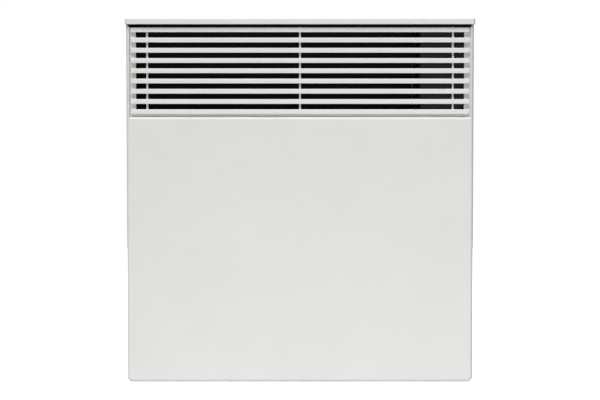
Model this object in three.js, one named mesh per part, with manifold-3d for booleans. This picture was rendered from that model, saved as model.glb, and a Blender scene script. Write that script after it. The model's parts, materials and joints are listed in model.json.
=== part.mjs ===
// Wall panel convector heater: a folded steel shell with a louvred outlet, a finned element,
// controls in the top cover and a ladder bracket on the wall. Millimetres, +Z up, front at -Y.
import * as THREE from "three";
import { mergeVertices } from "three/addons/utils/BufferGeometryUtils.js";
import Module from "manifold-3d";

const wasm = await Module();
wasm.setup();

// ---- overall sizes ----
const BODY_WIDTH = 420;
const HEIGHT = 442;
const DEPTH = 80; // wall to the front of the cover
const STANDOFF = 16; // wall to the back of the casing
const COVER_OVERHANG = 1.5;
const FIT = 0.3; // gap between pieces that touch
const RAIL_DROP = 142; // middle of the bracket's top rail below the heater's top

// ---- sheet metal ----
const SHELL_SHEET = 1.2;
const INNER_SHEET = 1;
const THIN_SHEET = 0.8;
const BRACKET_SHEET = 1.5;
const SHELL_BEND = 3; // outside radius of the shell's bends
const PANEL_TOP_BEND = 2;
const COVER_BEND = 2;
const INNER_BEND = 1;
const CORNER_CUT = 4.2; // cut-back bottom corners
const RETURN_FLANGE = 13;
const BOTTOM_FLANGE = 14;
const SIDE_LIP = 3.2; // front lip left beside the grille

// ---- cover and grille ----
const HEM_HEIGHT = 7.3;
const SHADOW_GAP = 3.8;
const SLAT_COUNT = 9;
const SLAT_PITCH = 12.35;
const SLAT_HEIGHT = 5.7;
const SLAT_INSET = 5.5; // slat ends inside the body's sides
const SLAT_SHEET = 0.9;
const SLAT_LAND = 1;
const SLAT_NOSE = 3;
const SLAT_SETBACK = 0.6; // slat nose behind the panel's face
const GROOVE = 4;
const RECESS = 4.2; // grille frame behind the panel's face
const FRAME_DROP = 12; // grille frame's lower edge below the panel's top
const WINDOW_INSET = 11.5; // window's ends inside the body's sides
const WINDOW_LAP = 3; // how far the outer slats cover the window's edge
const TIE_INSET = 25.1; // outer comb strips inside the body's sides
const TIE_WIDTH = 2.2;
const TIE_DEPTH = 5;
const TIE_FOOT = 4;

// ---- air channel and element ----
const SHIELD_GAP = 8; // heat shield behind the front panel
const COMPARTMENT_WIDTH = 70; // partition to the body's right side
const ELEMENT_Z = 78;
const ELEMENT_INSET = 26.4; // ends of the finned profile inside the channel's
const ELEMENT_CORE = 7;
const ELEMENT_BORE = 4.2;
const ROD_RADIUS = 3.9;
const FIN_REACH_Y = 13;
const FIN_REACH_Z = 24;
const FIN_SHEET = 1.6;
const FIN_SLOT = 3.2;
const FIN_PITCH = 14;
const FIN_ROOT = 15; // height above the core where the fins part
const BUSH_RADIUS = 9;
const BUSH_LENGTH = 10;
const BUSH_GROOVE = 7;

// ---- controls ----
const HOUSING_DROP = 9; // housing's floor below the grille's window
const BEZEL_DEPTH = 13;
const BEZEL_HALF_X = 29;
const BEZEL_INSET = 36; // tray's middle inside the body's right side
const HOUSING_GAP = 0.5; // housing behind the comb strips
const TRAY_GAP = 10; // tray's inside in front of the casing
const BEZEL_RIM = 3;
const MOULD_WALL = 1.8;
const KNOB_RADIUS = 13.5;
const KNOB_HEIGHT = 10;
const KNOB_OFFSET = 11; // knob left of the tray's middle
const SPINDLE_RADIUS = 3;
const ROCKER_OFFSET = 18; // rocker right of the tray's middle
const ROCKER_LENGTH = 18;
const ROCKER_WIDTH = 11;
const LENS_RADIUS = 2.6;
const LENS_OFFSET_X = 6;
const LENS_MARGIN = 6; // lens behind the tray's front
const THERMOSTAT_DEPTH = 25; // thermostat and switch below the tray's floor
const SPINDLE_SEAT = 8; // spindle's foot below the tray's floor
const SPINDLE_RISE = 6;

// ---- bracket ----
const LEG_X = 120;
const LEG_WIDTH = 30;
const LEG_DEPTH = 12;
const RAIL_WIDTH = 30;
const LOWER_RAIL_HEIGHT = 90; // middle of the lower rail above the heater's bottom
const LATCH_RISE = 62; // latch pivots above the top rail's middle
const LATCH_RADIUS = 9;

const ARC_STEPS = 4;
const COARSE_STEPS = 2;
const ROUND_STEPS = 16;
const SMALL_STEPS = 12;
const LEAD_SIDES = 8;
const LEAD_STEPS = 16;

// ---- places worked out from the sizes ----
const PANEL_FRONT = -(DEPTH - COVER_OVERHANG);
const CASING_BACK = -STANDOFF;
const CASING_FRONT = CASING_BACK - INNER_SHEET;
const BODY_HALF = BODY_WIDTH / 2;
const SLAT_HALF = BODY_HALF - SLAT_INSET;
const WINDOW_HALF = BODY_HALF - WINDOW_INSET;
const TIE_OFFSET = BODY_HALF - TIE_INSET;
const PARTITION_X = BODY_HALF - COMPARTMENT_WIDTH;
const INSIDE_HALF = BODY_HALF - SHELL_SHEET;
const COVER_HALF = BODY_HALF + COVER_OVERHANG;
const FRAME_FRONT = PANEL_FRONT + RECESS;
const FRAME_BACK = FRAME_FRONT + INNER_SHEET;
const FIRST_SLAT_TOP = HEIGHT - HEM_HEIGHT - SHADOW_GAP;
const LAST_SLAT_FOOT = FIRST_SLAT_TOP - (SLAT_COUNT - 1) * SLAT_PITCH - SLAT_HEIGHT;
const PANEL_TOP = LAST_SLAT_FOOT - GROOVE;
const SHELL_TOP = HEIGHT - SHELL_SHEET - FIT;
const SHIELD_FRONT = PANEL_FRONT + SHIELD_GAP;
const FRAME_FOOT = PANEL_TOP - FRAME_DROP;
const SHIELD_TOP = FRAME_FOOT - (INNER_SHEET + THIN_SHEET) / 2 - FIT;
const RAIL_HEIGHT = HEIGHT - RAIL_DROP;
const CHANNEL_MIDDLE = (SHIELD_FRONT + CASING_FRONT) / 2;
const CHANNEL_LEFT = -INSIDE_HALF;
const ELEMENT_X = (CHANNEL_LEFT + PARTITION_X) / 2;
const ELEMENT_HALF = (PARTITION_X - CHANNEL_LEFT) / 2 - ELEMENT_INSET;
const WINDOW_FOOT = LAST_SLAT_FOOT + WINDOW_LAP;
const WINDOW_TOP = FIRST_SLAT_TOP - WINDOW_LAP;
const BEZEL_X = BODY_HALF - BEZEL_INSET;
const TRAY_FRONT = FRAME_FRONT + TIE_DEPTH + HOUSING_GAP + MOULD_WALL;
const TRAY_BACK = CASING_FRONT - TRAY_GAP;
const BEZEL_Y = (TRAY_FRONT + TRAY_BACK) / 2;
const BEZEL_HALF_Y = (TRAY_BACK - TRAY_FRONT) / 2;
const KNOB_X = BEZEL_X - KNOB_OFFSET;
const ROCKER_X = BEZEL_X + ROCKER_OFFSET;
const HOUSING_FLOOR = WINDOW_FOOT - HOUSING_DROP;

// ---- solids ----

// Turns a closed geometry into a solid that can be joined and cut.
function solid(geometry) {
  const bare = geometry.index ? geometry.toNonIndexed() : geometry.clone();
  bare.deleteAttribute("normal");
  bare.deleteAttribute("uv");
  const merged = mergeVertices(bare, 1e-4);
  return new wasm.Manifold(
    new wasm.Mesh({
      numProp: 3,
      vertProperties: merged.attributes.position.array,
      triVerts: new Uint32Array(merged.index.array),
    }),
  );
}

// Turns a solid back into a geometry with flat shading.
function geometryOf(body) {
  const mesh = body.getMesh();
  const stride = mesh.numProp;
  const positions = new Float32Array(mesh.numVert * 3);
  for (let i = 0; i < mesh.numVert; i++) {
    positions.set(mesh.vertProperties.subarray(i * stride, i * stride + 3), i * 3);
  }
  const geometry = new THREE.BufferGeometry();
  geometry.setAttribute("position", new THREE.BufferAttribute(positions, 3));
  geometry.setIndex(new THREE.BufferAttribute(mesh.triVerts, 1));
  const flat = geometry.toNonIndexed();
  flat.computeVertexNormals();
  return flat;
}

function moved(geometry, x, y, z) {
  return geometry.translate(x, y, z);
}

// A block between two corners.
function block(x0, x1, y0, y1, z0, z1) {
  const geometry = new THREE.BoxGeometry(x1 - x0, y1 - y0, z1 - z0);
  return solid(moved(geometry, (x0 + x1) / 2, (y0 + y1) / 2, (z0 + z1) / 2));
}

// A round bar along an axis, centred at a point.
function bar(axis, radius, length, x, y, z, steps = ROUND_STEPS) {
  const geometry = new THREE.CylinderGeometry(radius, radius, length, steps);
  if (axis === "x") geometry.rotateZ(Math.PI / 2);
  if (axis === "z") geometry.rotateX(Math.PI / 2);
  return solid(moved(geometry, x, y, z));
}

function polygon(points) {
  const shape = new THREE.Shape();
  points.forEach(([a, b], i) => (i ? shape.lineTo(a, b) : shape.moveTo(a, b)));
  shape.closePath();
  return shape;
}

// An outline in (y, z) carried along X.
function alongX(shape, x0, x1) {
  const geometry = new THREE.ExtrudeGeometry(shape, { depth: x1 - x0, bevelEnabled: false });
  geometry.applyMatrix4(new THREE.Matrix4().set(0, 0, 1, x0, 1, 0, 0, 0, 0, 1, 0, 0, 0, 0, 0, 1));
  return solid(geometry);
}

// An outline in (x, z) carried along Y.
function alongY(shape, y0, y1) {
  const geometry = new THREE.ExtrudeGeometry(shape, { depth: y1 - y0, bevelEnabled: false });
  geometry.applyMatrix4(new THREE.Matrix4().set(1, 0, 0, 0, 0, 0, -1, y1, 0, 1, 0, 0, 0, 0, 0, 1));
  return solid(geometry);
}

// An outline in (x, y) carried along Z.
function alongZ(shape, z0, z1) {
  const geometry = new THREE.ExtrudeGeometry(shape, { depth: z1 - z0, bevelEnabled: false });
  return solid(moved(geometry, 0, 0, z0));
}

// A rectangle with round corners, centred at (x, y).
function roundedRectangle(width, height, radius, x = 0, y = 0, steps = ARC_STEPS) {
  const right = width / 2 - radius;
  const top = height / 2 - radius;
  const points = [];
  for (const [cx, cy, start] of [[right, top, 0], [-right, top, 1], [-right, -top, 2], [right, -top, 3]]) {
    for (let i = 0; i <= steps; i++) {
      const angle = ((start + i / steps) * Math.PI) / 2;
      points.push([x + cx + radius * Math.cos(angle), y + cy + radius * Math.sin(angle)]);
    }
  }
  return polygon(points);
}

// The section of a folded sheet: its middle line turns at each corner on an arc, and the outline
// lies half a thickness to each side of that line.
function foldedSection(corners, thickness, insideRadius, steps = ARC_STEPS) {
  const points = corners.map(([a, b]) => new THREE.Vector2(a, b));
  const radius = insideRadius + thickness / 2;
  const line = [];
  const normalOf = (from, to) => {
    const run = to.clone().sub(from).normalize();
    return new THREE.Vector2(-run.y, run.x);
  };
  line.push([points[0], normalOf(points[0], points[1])]);
  for (let i = 1; i < points.length - 1; i++) {
    const before = normalOf(points[i - 1], points[i]);
    const after = normalOf(points[i], points[i + 1]);
    const turn = Math.atan2(before.cross(after), before.dot(after));
    const side = Math.sign(turn);
    const reach = radius * Math.tan(Math.abs(turn) / 2);
    const run = new THREE.Vector2(before.y, -before.x);
    const start = points[i].clone().addScaledVector(run, -reach);
    const centre = start.clone().addScaledVector(before, side * radius);
    for (let k = 0; k <= steps; k++) {
      const normal = before.clone().rotateAround(new THREE.Vector2(), (turn * k) / steps);
      line.push([centre.clone().addScaledVector(normal, -side * radius), normal]);
    }
  }
  const last = points.length - 1;
  line.push([points[last], normalOf(points[last - 1], points[last])]);
  const edge = (sign) =>
    line.map(([p, n]) => [p.x + (sign * n.x * thickness) / 2, p.y + (sign * n.y * thickness) / 2]);
  return polygon([...edge(-1), ...edge(1).reverse()]);
}

// A closed block whose edges along its outline are rounded at both ends of its depth.
function roundedBlock(shape, depth, edgeRadius) {
  const geometry = new THREE.ExtrudeGeometry(shape, {
    depth: depth - 2 * edgeRadius,
    bevelThickness: edgeRadius,
    bevelSize: edgeRadius,
    bevelOffset: -edgeRadius,
    bevelSegments: ARC_STEPS,
  });
  return moved(geometry, 0, 0, edgeRadius);
}

// Stands such a block up, with its rounded front at one place along Y and its back at another.
function standing(shape, front, back, edgeRadius) {
  const geometry = roundedBlock(shape, back - front, edgeRadius);
  return solid(moved(geometry.rotateX(Math.PI / 2), 0, back, 0));
}

function joinAll(bodies) {
  return bodies.reduce((whole, body) => whole.add(body));
}

function cutAll(body, cutters) {
  return cutters.reduce((left, cutter) => left.subtract(cutter), body);
}

// ---- front shell ----

// The shell's outline from the front: cut-back lower corners, and straight sides past the top.
// A sheet's thickness further in, the slanted edge moves in along both sides by the same share.
function shellOutline(inset) {
  const half = BODY_HALF - inset;
  const cut = CORNER_CUT - inset * (2 - Math.SQRT2);
  const top = HEIGHT + BEYOND;
  return polygon([
    [half, inset + cut],
    [half, top],
    [-half, top],
    [-half, inset + cut],
    [cut - half, inset],
    [half - cut, inset],
  ]);
}

const SHELL_BACK = CASING_FRONT - FIT;
const BACK_SCREW_X = INSIDE_HALF - RETURN_FLANGE / 2 - 1;
const LOWER_SCREW_RISE = 30;
const UPPER_SCREW_DROP = 22;
const UPPER_SCREW_Z = HEIGHT - UPPER_SCREW_DROP;
const BACK_SCREW_HEIGHTS = [LOWER_SCREW_RISE, (LOWER_SCREW_RISE + UPPER_SCREW_Z) / 2, UPPER_SCREW_Z];
const SCREW_RADIUS = 1.7;
const SCREW_HEAD = 3.4;
const BEYOND = 30; // how far cutters reach past what they cut
const MERGE = 0.02; // overlap of solids that are joined into one sheet

function backScrewHoles() {
  const holes = [];
  for (const side of [-1, 1]) {
    for (const z of BACK_SCREW_HEIGHTS) {
      holes.push(
        bar("y", SCREW_RADIUS + FIT, BEYOND, side * BACK_SCREW_X, CASING_BACK, z, SCREW_SIDES),
      );
    }
  }
  return holes;
}

// The slanted notches that clear the front lips away behind the shadow gap.
function lipNotches() {
  const outer = BODY_HALF - SHELL_SHEET;
  const inner = BODY_HALF - SIDE_LIP;
  const past = inner - SHELL_SHEET;
  const hemFoot = HEIGHT - HEM_HEIGHT;
  return [-1, 1].map((side) => {
    const outline = [
      [side * outer, HEIGHT + BEYOND],
      [side * outer, hemFoot - SHELL_SHEET],
      [side * inner, FIRST_SLAT_TOP],
      [side * past, FIRST_SLAT_TOP],
      [side * past, HEIGHT + BEYOND],
    ];
    const turned = side < 0 ? outline : outline.reverse();
    return alongY(polygon(turned), PANEL_FRONT - 1, PANEL_FRONT + 2 * SHELL_BEND);
  });
}

// The corner reliefs: behind the bend, side and bottom flanges stop short of each other.
function cornerReliefs() {
  const back = PANEL_FRONT + SHELL_BEND;
  const near = BODY_HALF - CORNER_CUT;
  return [-1, 1].map((side) => {
    const x0 = side < 0 ? -BODY_WIDTH : near;
    return block(x0, x0 + BODY_WIDTH - near, back, DEPTH, -BEYOND, CORNER_CUT);
  });
}

function frontPanel() {
  const window = BODY_HALF - SIDE_LIP;
  const foldStart = PANEL_TOP - 3 * PANEL_TOP_BEND;
  const flangeBack = SHELL_BACK - SHELL_SHEET;
  const middle = PANEL_FRONT + SHELL_SHEET / 2;
  const shell = standing(shellOutline(0), PANEL_FRONT, CASING_BACK + BEYOND, SHELL_BEND).subtract(
    standing(
      shellOutline(SHELL_SHEET),
      PANEL_FRONT + SHELL_SHEET,
      CASING_BACK + 2 * BEYOND,
      SHELL_BEND - SHELL_SHEET,
    ),
  );
  const open = cutAll(shell, [
    block(-BODY_WIDTH, BODY_WIDTH, SHELL_BACK, DEPTH, -BEYOND, HEIGHT + BEYOND),
    block(-BODY_WIDTH, BODY_WIDTH, -2 * DEPTH, DEPTH, SHELL_TOP, HEIGHT + 2 * BEYOND),
    block(-window, window, PANEL_FRONT - 1, PANEL_FRONT + BEYOND, foldStart, HEIGHT + BEYOND),
    block(-BODY_WIDTH, BODY_WIDTH, PANEL_FRONT + BOTTOM_FLANGE, DEPTH, -1, CORNER_CUT),
    ...lipNotches(),
    ...cornerReliefs(),
  ]);
  const topFold = foldedSection(
    [
      [middle, foldStart - MERGE],
      [middle, PANEL_TOP - SHELL_SHEET / 2],
      [FRAME_FRONT - FIT, PANEL_TOP - SHELL_SHEET / 2],
    ],
    SHELL_SHEET,
    PANEL_TOP_BEND - SHELL_SHEET,
  );
  const flanges = [-1, 1].map((side) => {
    const inner = side * (INSIDE_HALF - RETURN_FLANGE);
    const outer = side * (INSIDE_HALF + MERGE);
    const [x0, x1] = [Math.min(inner, outer), Math.max(inner, outer)];
    return block(x0, x1, flangeBack, SHELL_BACK, 3 * CORNER_CUT, SHELL_TOP - 3 * CORNER_CUT);
  });
  const fold = alongX(topFold, -window - MERGE, window + MERGE);
  return cutAll(joinAll([open, fold, ...flanges]), backScrewHoles());
}

// ---- grille ----

const FRAME_FLANGE = 8;

function grilleFrame() {
  const half = INSIDE_HALF - FIT - INNER_SHEET / 2;
  const middle = FRAME_FRONT + INNER_SHEET / 2;
  const section = foldedSection(
    [
      [-half, middle + FRAME_FLANGE],
      [-half, middle],
      [half, middle],
      [half, middle + FRAME_FLANGE],
    ],
    INNER_SHEET,
    INNER_BEND,
  );
  const lowerFold = foldedSection(
    [
      [middle, FRAME_FOOT + 4],
      [middle, FRAME_FOOT],
      [middle + FRAME_FLANGE / 2, FRAME_FOOT],
    ],
    INNER_SHEET,
    INNER_BEND,
  );
  const foldHalf = half - 2 * INNER_BEND;
  const channel = alongZ(section, FRAME_FOOT + 3, FIRST_SLAT_TOP);
  const window = block(-WINDOW_HALF, WINDOW_HALF, -DEPTH, 0, WINDOW_FOOT, WINDOW_TOP);
  return channel.add(alongX(lowerFold, -foldHalf, foldHalf)).subtract(window);
}

function slatTop(index) {
  return FIRST_SLAT_TOP - index * SLAT_PITCH;
}

// A slat is one folded strip: a land on the frame, a slope that hides the gap, and a nose.
function louvreSlat(index) {
  const top = slatTop(index);
  const land = FRAME_FRONT - FIT - SLAT_SHEET / 2;
  const nose = PANEL_FRONT + SLAT_SETBACK + SLAT_SHEET / 2;
  const foot = top - SLAT_HEIGHT;
  const section = foldedSection(
    [
      [land, top],
      [land, top - SLAT_LAND],
      [nose, foot + SLAT_NOSE],
      [nose, foot],
    ],
    SLAT_SHEET,
    SLAT_SHEET / 2,
  );
  return alongX(section, -SLAT_HALF, SLAT_HALF);
}

const TOOTH_REACH = 1;

// A comb strip: its teeth stand between the lands of the slats, and its feet hold behind the frame.
function grilleTie(x) {
  const foot = WINDOW_FOOT + FIT;
  const top = WINDOW_TOP - FIT;
  const back = FRAME_FRONT + TIE_DEPTH;
  const footFront = FRAME_BACK + FIT;
  const outline = [
    [back, foot - TIE_FOOT],
    [back, top + TIE_FOOT],
    [footFront, top + TIE_FOOT],
    [footFront, top],
    [FRAME_FRONT, top],
  ];
  for (let i = 1; i < SLAT_COUNT; i++) {
    const toothTop = slatTop(i - 1) - SLAT_HEIGHT + TOOTH_REACH;
    const toothFoot = slatTop(i) + FIT;
    outline.push([FRAME_FRONT, toothTop]);
    outline.push([FRAME_FRONT - TOOTH_REACH, toothTop - TOOTH_REACH]);
    outline.push([FRAME_FRONT - TOOTH_REACH, toothFoot]);
    outline.push([FRAME_FRONT, toothFoot]);
  }
  outline.push([FRAME_FRONT, foot], [footFront, foot], [footFront, foot - TIE_FOOT]);
  return alongX(polygon(outline), x - TIE_WIDTH / 2, x + TIE_WIDTH / 2);
}

// ---- top cover ----

const COVER_CORNER = 3;
const COVER_FLANGE = 11;
const COVER_SCREW_INSET = 60;
const COVER_SCREW_X = [COVER_SCREW_INSET - BODY_HALF, PARTITION_X - COVER_SCREW_INSET];
const COVER_SCREW_DROP = 8;
const COVER_SCREW_Z = HEIGHT - COVER_SCREW_DROP;

function coverOutline(inset) {
  const front = -DEPTH + inset;
  const back = BEYOND + inset;
  const width = 2 * (COVER_HALF - inset);
  return roundedRectangle(width, back - front, COVER_CORNER - inset, 0, (front + back) / 2);
}

function topCover() {
  const hemFoot = HEIGHT - HEM_HEIGHT;
  const depth = HEM_HEIGHT + BEYOND;
  const outer = solid(moved(roundedBlock(coverOutline(0), depth, COVER_BEND), 0, 0, HEIGHT - depth));
  const innerEdge = COVER_BEND - SHELL_SHEET;
  const inner = solid(
    moved(roundedBlock(coverOutline(SHELL_SHEET), depth, innerEdge), 0, 0, HEIGHT - SHELL_SHEET - depth),
  );
  const flangeHalf = INSIDE_HALF - RETURN_FLANGE;
  const flangeTop = HEIGHT - SHELL_SHEET + MERGE;
  const opening = roundedRectangle(2 * BEZEL_HALF_X, 2 * BEZEL_HALF_Y, COVER_CORNER, BEZEL_X, BEZEL_Y);
  const cover = cutAll(outer.subtract(inner), [
    block(-BODY_WIDTH, BODY_WIDTH, -2 * DEPTH, DEPTH, -BEYOND, hemFoot),
    block(-BODY_WIDTH, BODY_WIDTH, SHELL_BACK, DEPTH, -BEYOND, HEIGHT + BEYOND),
    alongZ(opening, HEIGHT - HEM_HEIGHT, HEIGHT + BEYOND),
  ]);
  const flangeFront = SHELL_BACK - SHELL_SHEET;
  const flange = block(-flangeHalf, flangeHalf, flangeFront, SHELL_BACK, flangeTop - COVER_FLANGE, flangeTop);
  return cutAll(cover.add(flange), coverScrewHoles());
}

function coverScrewHoles() {
  return COVER_SCREW_X.map((x) =>
    bar("y", SCREW_RADIUS + FIT, BEYOND, x, CASING_BACK, COVER_SCREW_Z, SCREW_SIDES),
  );
}

const SCREW_HEAD_HEIGHT = 2;
const SCREW_CROWN = 2.4; // radius of the head's flat top
const SCREW_SHANK = 6; // shank below the head
const SCREW_SIDES = 12;
const RECESS_REACH = 2.2;
const RECESS_HALF = 0.4;
const RECESS_DEPTH = 1;

// A pan-head screw driven in from behind, with a cross recess.
function backScrew(x, z) {
  const seat = CASING_BACK + FIT;
  const crown = seat + SCREW_HEAD_HEIGHT;
  const cone = new THREE.CylinderGeometry(SCREW_CROWN, SCREW_HEAD, SCREW_HEAD_HEIGHT, SCREW_SIDES);
  const head = solid(moved(cone, x, (seat + crown) / 2, z));
  const shankMiddle = seat + (MERGE - SCREW_SHANK) / 2;
  const shank = bar("y", SCREW_RADIUS, SCREW_SHANK + MERGE, x, shankMiddle, z, SCREW_SIDES);
  const floor = crown - RECESS_DEPTH;
  const across = [RECESS_REACH, RECESS_HALF].map((halfX, i) => {
    const halfZ = i ? RECESS_REACH : RECESS_HALF;
    return block(x - halfX, x + halfX, floor, crown + 1, z - halfZ, z + halfZ);
  });
  return cutAll(head.add(shank), across);
}

// ---- rear casing ----

const CASING_HALF = INSIDE_HALF - CORNER_CUT;
const INLET_SLOTS = 32;
const INLET_SLOT_WIDTH = 3.6;
const INLET_SLOT_LENGTH = 34;
const INLET_SLOT_ROUND = 1.6;
const INLET_MARGIN = 8; // plain strip beyond the first and last slot
const CASING_LAP = 9; // casing's floor behind the shell's front
const HOOK_SLOT_WIDTH = 4.5;
const HOOK_SLOT_DROP = 16;
const HOOK_SEAT = 3;
const HOOK_X = LEG_X + LEG_WIDTH / 2 - BRACKET_SHEET / 2;
const HOOK_FOOT = LOWER_RAIL_HEIGHT;
const GLAND_INSET = 26;
const GLAND_X = BODY_HALF - GLAND_INSET;
const GLAND_Z = 34;
const GLAND_RADIUS = 6;
const KEEPER_GAP = 5; // keeper's tab behind the casing's back
const KEEPER_FRONT = CASING_BACK + KEEPER_GAP;
const KEEPER_DROP = 34; // keeper's fold below the latch's pivot
const KEEPER_LAP = 8;
const KEEPER_SLOPE = 3;
const KEEPER_TAB = 12;
const KEEPER_HALF = 9;
const LATCH_Z = RAIL_HEIGHT + LATCH_RISE;

function inletSlots(z) {
  const cuts = [];
  const pitch = (2 * CASING_HALF - 2 * INLET_MARGIN) / INLET_SLOTS;
  for (let i = 0; i < INLET_SLOTS; i++) {
    const outline = roundedRectangle(
      INLET_SLOT_WIDTH,
      INLET_SLOT_LENGTH,
      INLET_SLOT_ROUND,
      (i - (INLET_SLOTS - 1) / 2) * pitch,
      CHANNEL_MIDDLE + BOTTOM_FLANGE - CASING_LAP,
      COARSE_STEPS,
    );
    cuts.push(alongZ(outline, z - INNER_SHEET, z + INNER_SHEET));
  }
  return cuts;
}

// A keeper is a stepped tab on the casing's back that the latch's finger reaches behind.
function latchKeeper(x) {
  const back = CASING_BACK - INNER_SHEET / 2;
  const foot = LATCH_Z - KEEPER_DROP;
  const slopeTop = foot + KEEPER_SLOPE;
  const section = foldedSection(
    [
      [back, foot - KEEPER_LAP],
      [back, foot],
      [KEEPER_FRONT, slopeTop],
      [KEEPER_FRONT, slopeTop + KEEPER_TAB],
    ],
    INNER_SHEET,
    INNER_BEND,
  );
  return alongX(section, x - KEEPER_HALF, x + KEEPER_HALF);
}

function rearCasing() {
  const middle = CASING_BACK - INNER_SHEET / 2;
  const floor = SHELL_SHEET + FIT + INNER_SHEET / 2;
  const section = foldedSection(
    [
      [PANEL_FRONT + CASING_LAP, floor],
      [middle, floor],
      [middle, SHELL_TOP],
    ],
    INNER_SHEET,
    INNER_BEND,
  );
  const body = alongX(section, -CASING_HALF, CASING_HALF);
  const hookSlots = [-1, 1].map((side) => {
    const x = side * HOOK_X;
    const half = HOOK_SLOT_WIDTH / 2;
    const foot = HOOK_FOOT - HOOK_SLOT_DROP;
    return block(x - half, x + half, CASING_FRONT - 1, CASING_BACK + 1, foot, HOOK_FOOT + HOOK_SEAT + FIT);
  });
  const gland = bar("y", GLAND_RADIUS + FIT, BEYOND, GLAND_X, CASING_BACK, GLAND_Z);
  const cut = cutAll(body, [
    ...inletSlots(floor),
    ...hookSlots,
    gland,
    ...backScrewHoles(),
    ...coverScrewHoles(),
  ]);
  return joinAll([cut, latchKeeper(-LEG_X), latchKeeper(LEG_X)]);
}

// ---- air channel ----

const SHIELD_FOOT = 22;
const SHIELD_LOWER_FLANGE = 9;
const SHIELD_UPPER_FLANGE = 5;

function heatShield() {
  const section = foldedSection(
    [
      [SHIELD_FRONT + SHIELD_LOWER_FLANGE, SHIELD_FOOT],
      [SHIELD_FRONT, SHIELD_FOOT],
      [SHIELD_FRONT, SHIELD_TOP],
      [SHIELD_FRONT + SHIELD_UPPER_FLANGE, SHIELD_TOP],
    ],
    THIN_SHEET,
    INNER_BEND,
  );
  return alongX(section, CHANNEL_LEFT + FIT, PARTITION_X - THIN_SHEET / 2 - FIT);
}

const DEFLECTOR_HEIGHT = 182;
const DEFLECTOR_DROP = 6; // deflector's top below the shell's
const DEFLECTOR_RISE = 34; // height of its slanted part
const DEFLECTOR_REACH = 30; // depth of its slanted part
const DEFLECTOR_BEND = 12;

function outletDeflector() {
  const back = SHELL_BACK - SHELL_SHEET - FIT - THIN_SHEET / 2;
  const top = SHELL_TOP - DEFLECTOR_DROP;
  const section = foldedSection(
    [
      [back, top - DEFLECTOR_HEIGHT],
      [back, top - DEFLECTOR_RISE],
      [back - DEFLECTOR_REACH, top],
      [SHIELD_FRONT - 1, top],
    ],
    THIN_SHEET,
    DEFLECTOR_BEND,
  );
  return alongX(section, CHANNEL_LEFT + FIT, PARTITION_X - THIN_SHEET / 2 - FIT);
}

const PARTITION_FOOT = 4;
const PARTITION_FLANGE = 12;
const CUTOUT_Z = 160;
const CUTOUT_RADIUS = 8;
const LEAD_HOLE = 3;

function compartmentPartition() {
  const back = SHELL_BACK - THIN_SHEET / 2;
  const section = foldedSection(
    [
      [PARTITION_X, FRAME_BACK + FRAME_FLANGE / 2 + INNER_SHEET],
      [PARTITION_X, back],
      [PARTITION_X + PARTITION_FLANGE, back],
    ],
    THIN_SHEET,
    INNER_BEND,
  );
  const flangeClear = SHELL_BACK - SHELL_SHEET - FIT;
  const clearCover = block(0, BODY_HALF, flangeClear, 0, HEIGHT - 2 * COVER_FLANGE, HEIGHT);
  return cutAll(alongZ(section, PARTITION_FOOT, SHELL_TOP - FIT), [
    bar("x", BUSH_GROOVE + FIT, BEYOND, PARTITION_X, CHANNEL_MIDDLE, ELEMENT_Z),
    bar("x", CUTOUT_RADIUS + FIT, BEYOND, PARTITION_X, CHANNEL_MIDDLE, CUTOUT_Z),
    clearCover,
  ]);
}

// ---- heating element ----

// Four folded wings leave the core at a slant and turn upright, and slots part them into fins.
function elementFins() {
  const wings = [];
  const start = ELEMENT_CORE / 2;
  const bend = FIN_ROOT - FIN_SHEET;
  for (const sideY of [-1, 1]) {
    for (const sideZ of [-1, 1]) {
      const section = foldedSection(
        [
          [CHANNEL_MIDDLE + sideY * start, ELEMENT_Z + sideZ * start],
          [CHANNEL_MIDDLE + sideY * FIN_REACH_Y, ELEMENT_Z + sideZ * bend],
          [CHANNEL_MIDDLE + sideY * FIN_REACH_Y, ELEMENT_Z + sideZ * FIN_REACH_Z],
        ],
        FIN_SHEET,
        INNER_BEND,
        COARSE_STEPS,
      );
      wings.push(alongX(section, ELEMENT_X - ELEMENT_HALF, ELEMENT_X + ELEMENT_HALF));
    }
  }
  const slots = [];
  const count = Math.floor((2 * ELEMENT_HALF) / FIN_PITCH) - 1;
  for (let i = 0; i < count; i++) {
    const x = ELEMENT_X + (i - (count - 1) / 2) * FIN_PITCH;
    for (const side of [-1, 1]) {
      const near = ELEMENT_Z + side * FIN_ROOT;
      const far = ELEMENT_Z + side * (FIN_REACH_Z + 1);
      const [z0, z1] = [Math.min(near, far), Math.max(near, far)];
      slots.push(block(x - FIN_SLOT / 2, x + FIN_SLOT / 2, -DEPTH, 0, z0, z1));
    }
  }
  const core = bar("x", ELEMENT_CORE, 2 * ELEMENT_HALF, ELEMENT_X, CHANNEL_MIDDLE, ELEMENT_Z);
  const bore = bar("x", ELEMENT_BORE, 3 * ELEMENT_HALF, ELEMENT_X, CHANNEL_MIDDLE, ELEMENT_Z);
  return cutAll(joinAll([core, ...wings]), [bore, ...slots]);
}

const ROD_MARGIN = 8;
const ROD_LEFT = CHANNEL_LEFT + ROD_MARGIN;
const ROD_RIGHT = PARTITION_X + PARTITION_FLANGE;
const TERMINAL_HALF = 3; // flat terminals: half their width
const TERMINAL_LENGTH = 9;
const TERMINAL_SHEET = 0.8;
const TERMINAL_OFFSET = 2;

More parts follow.
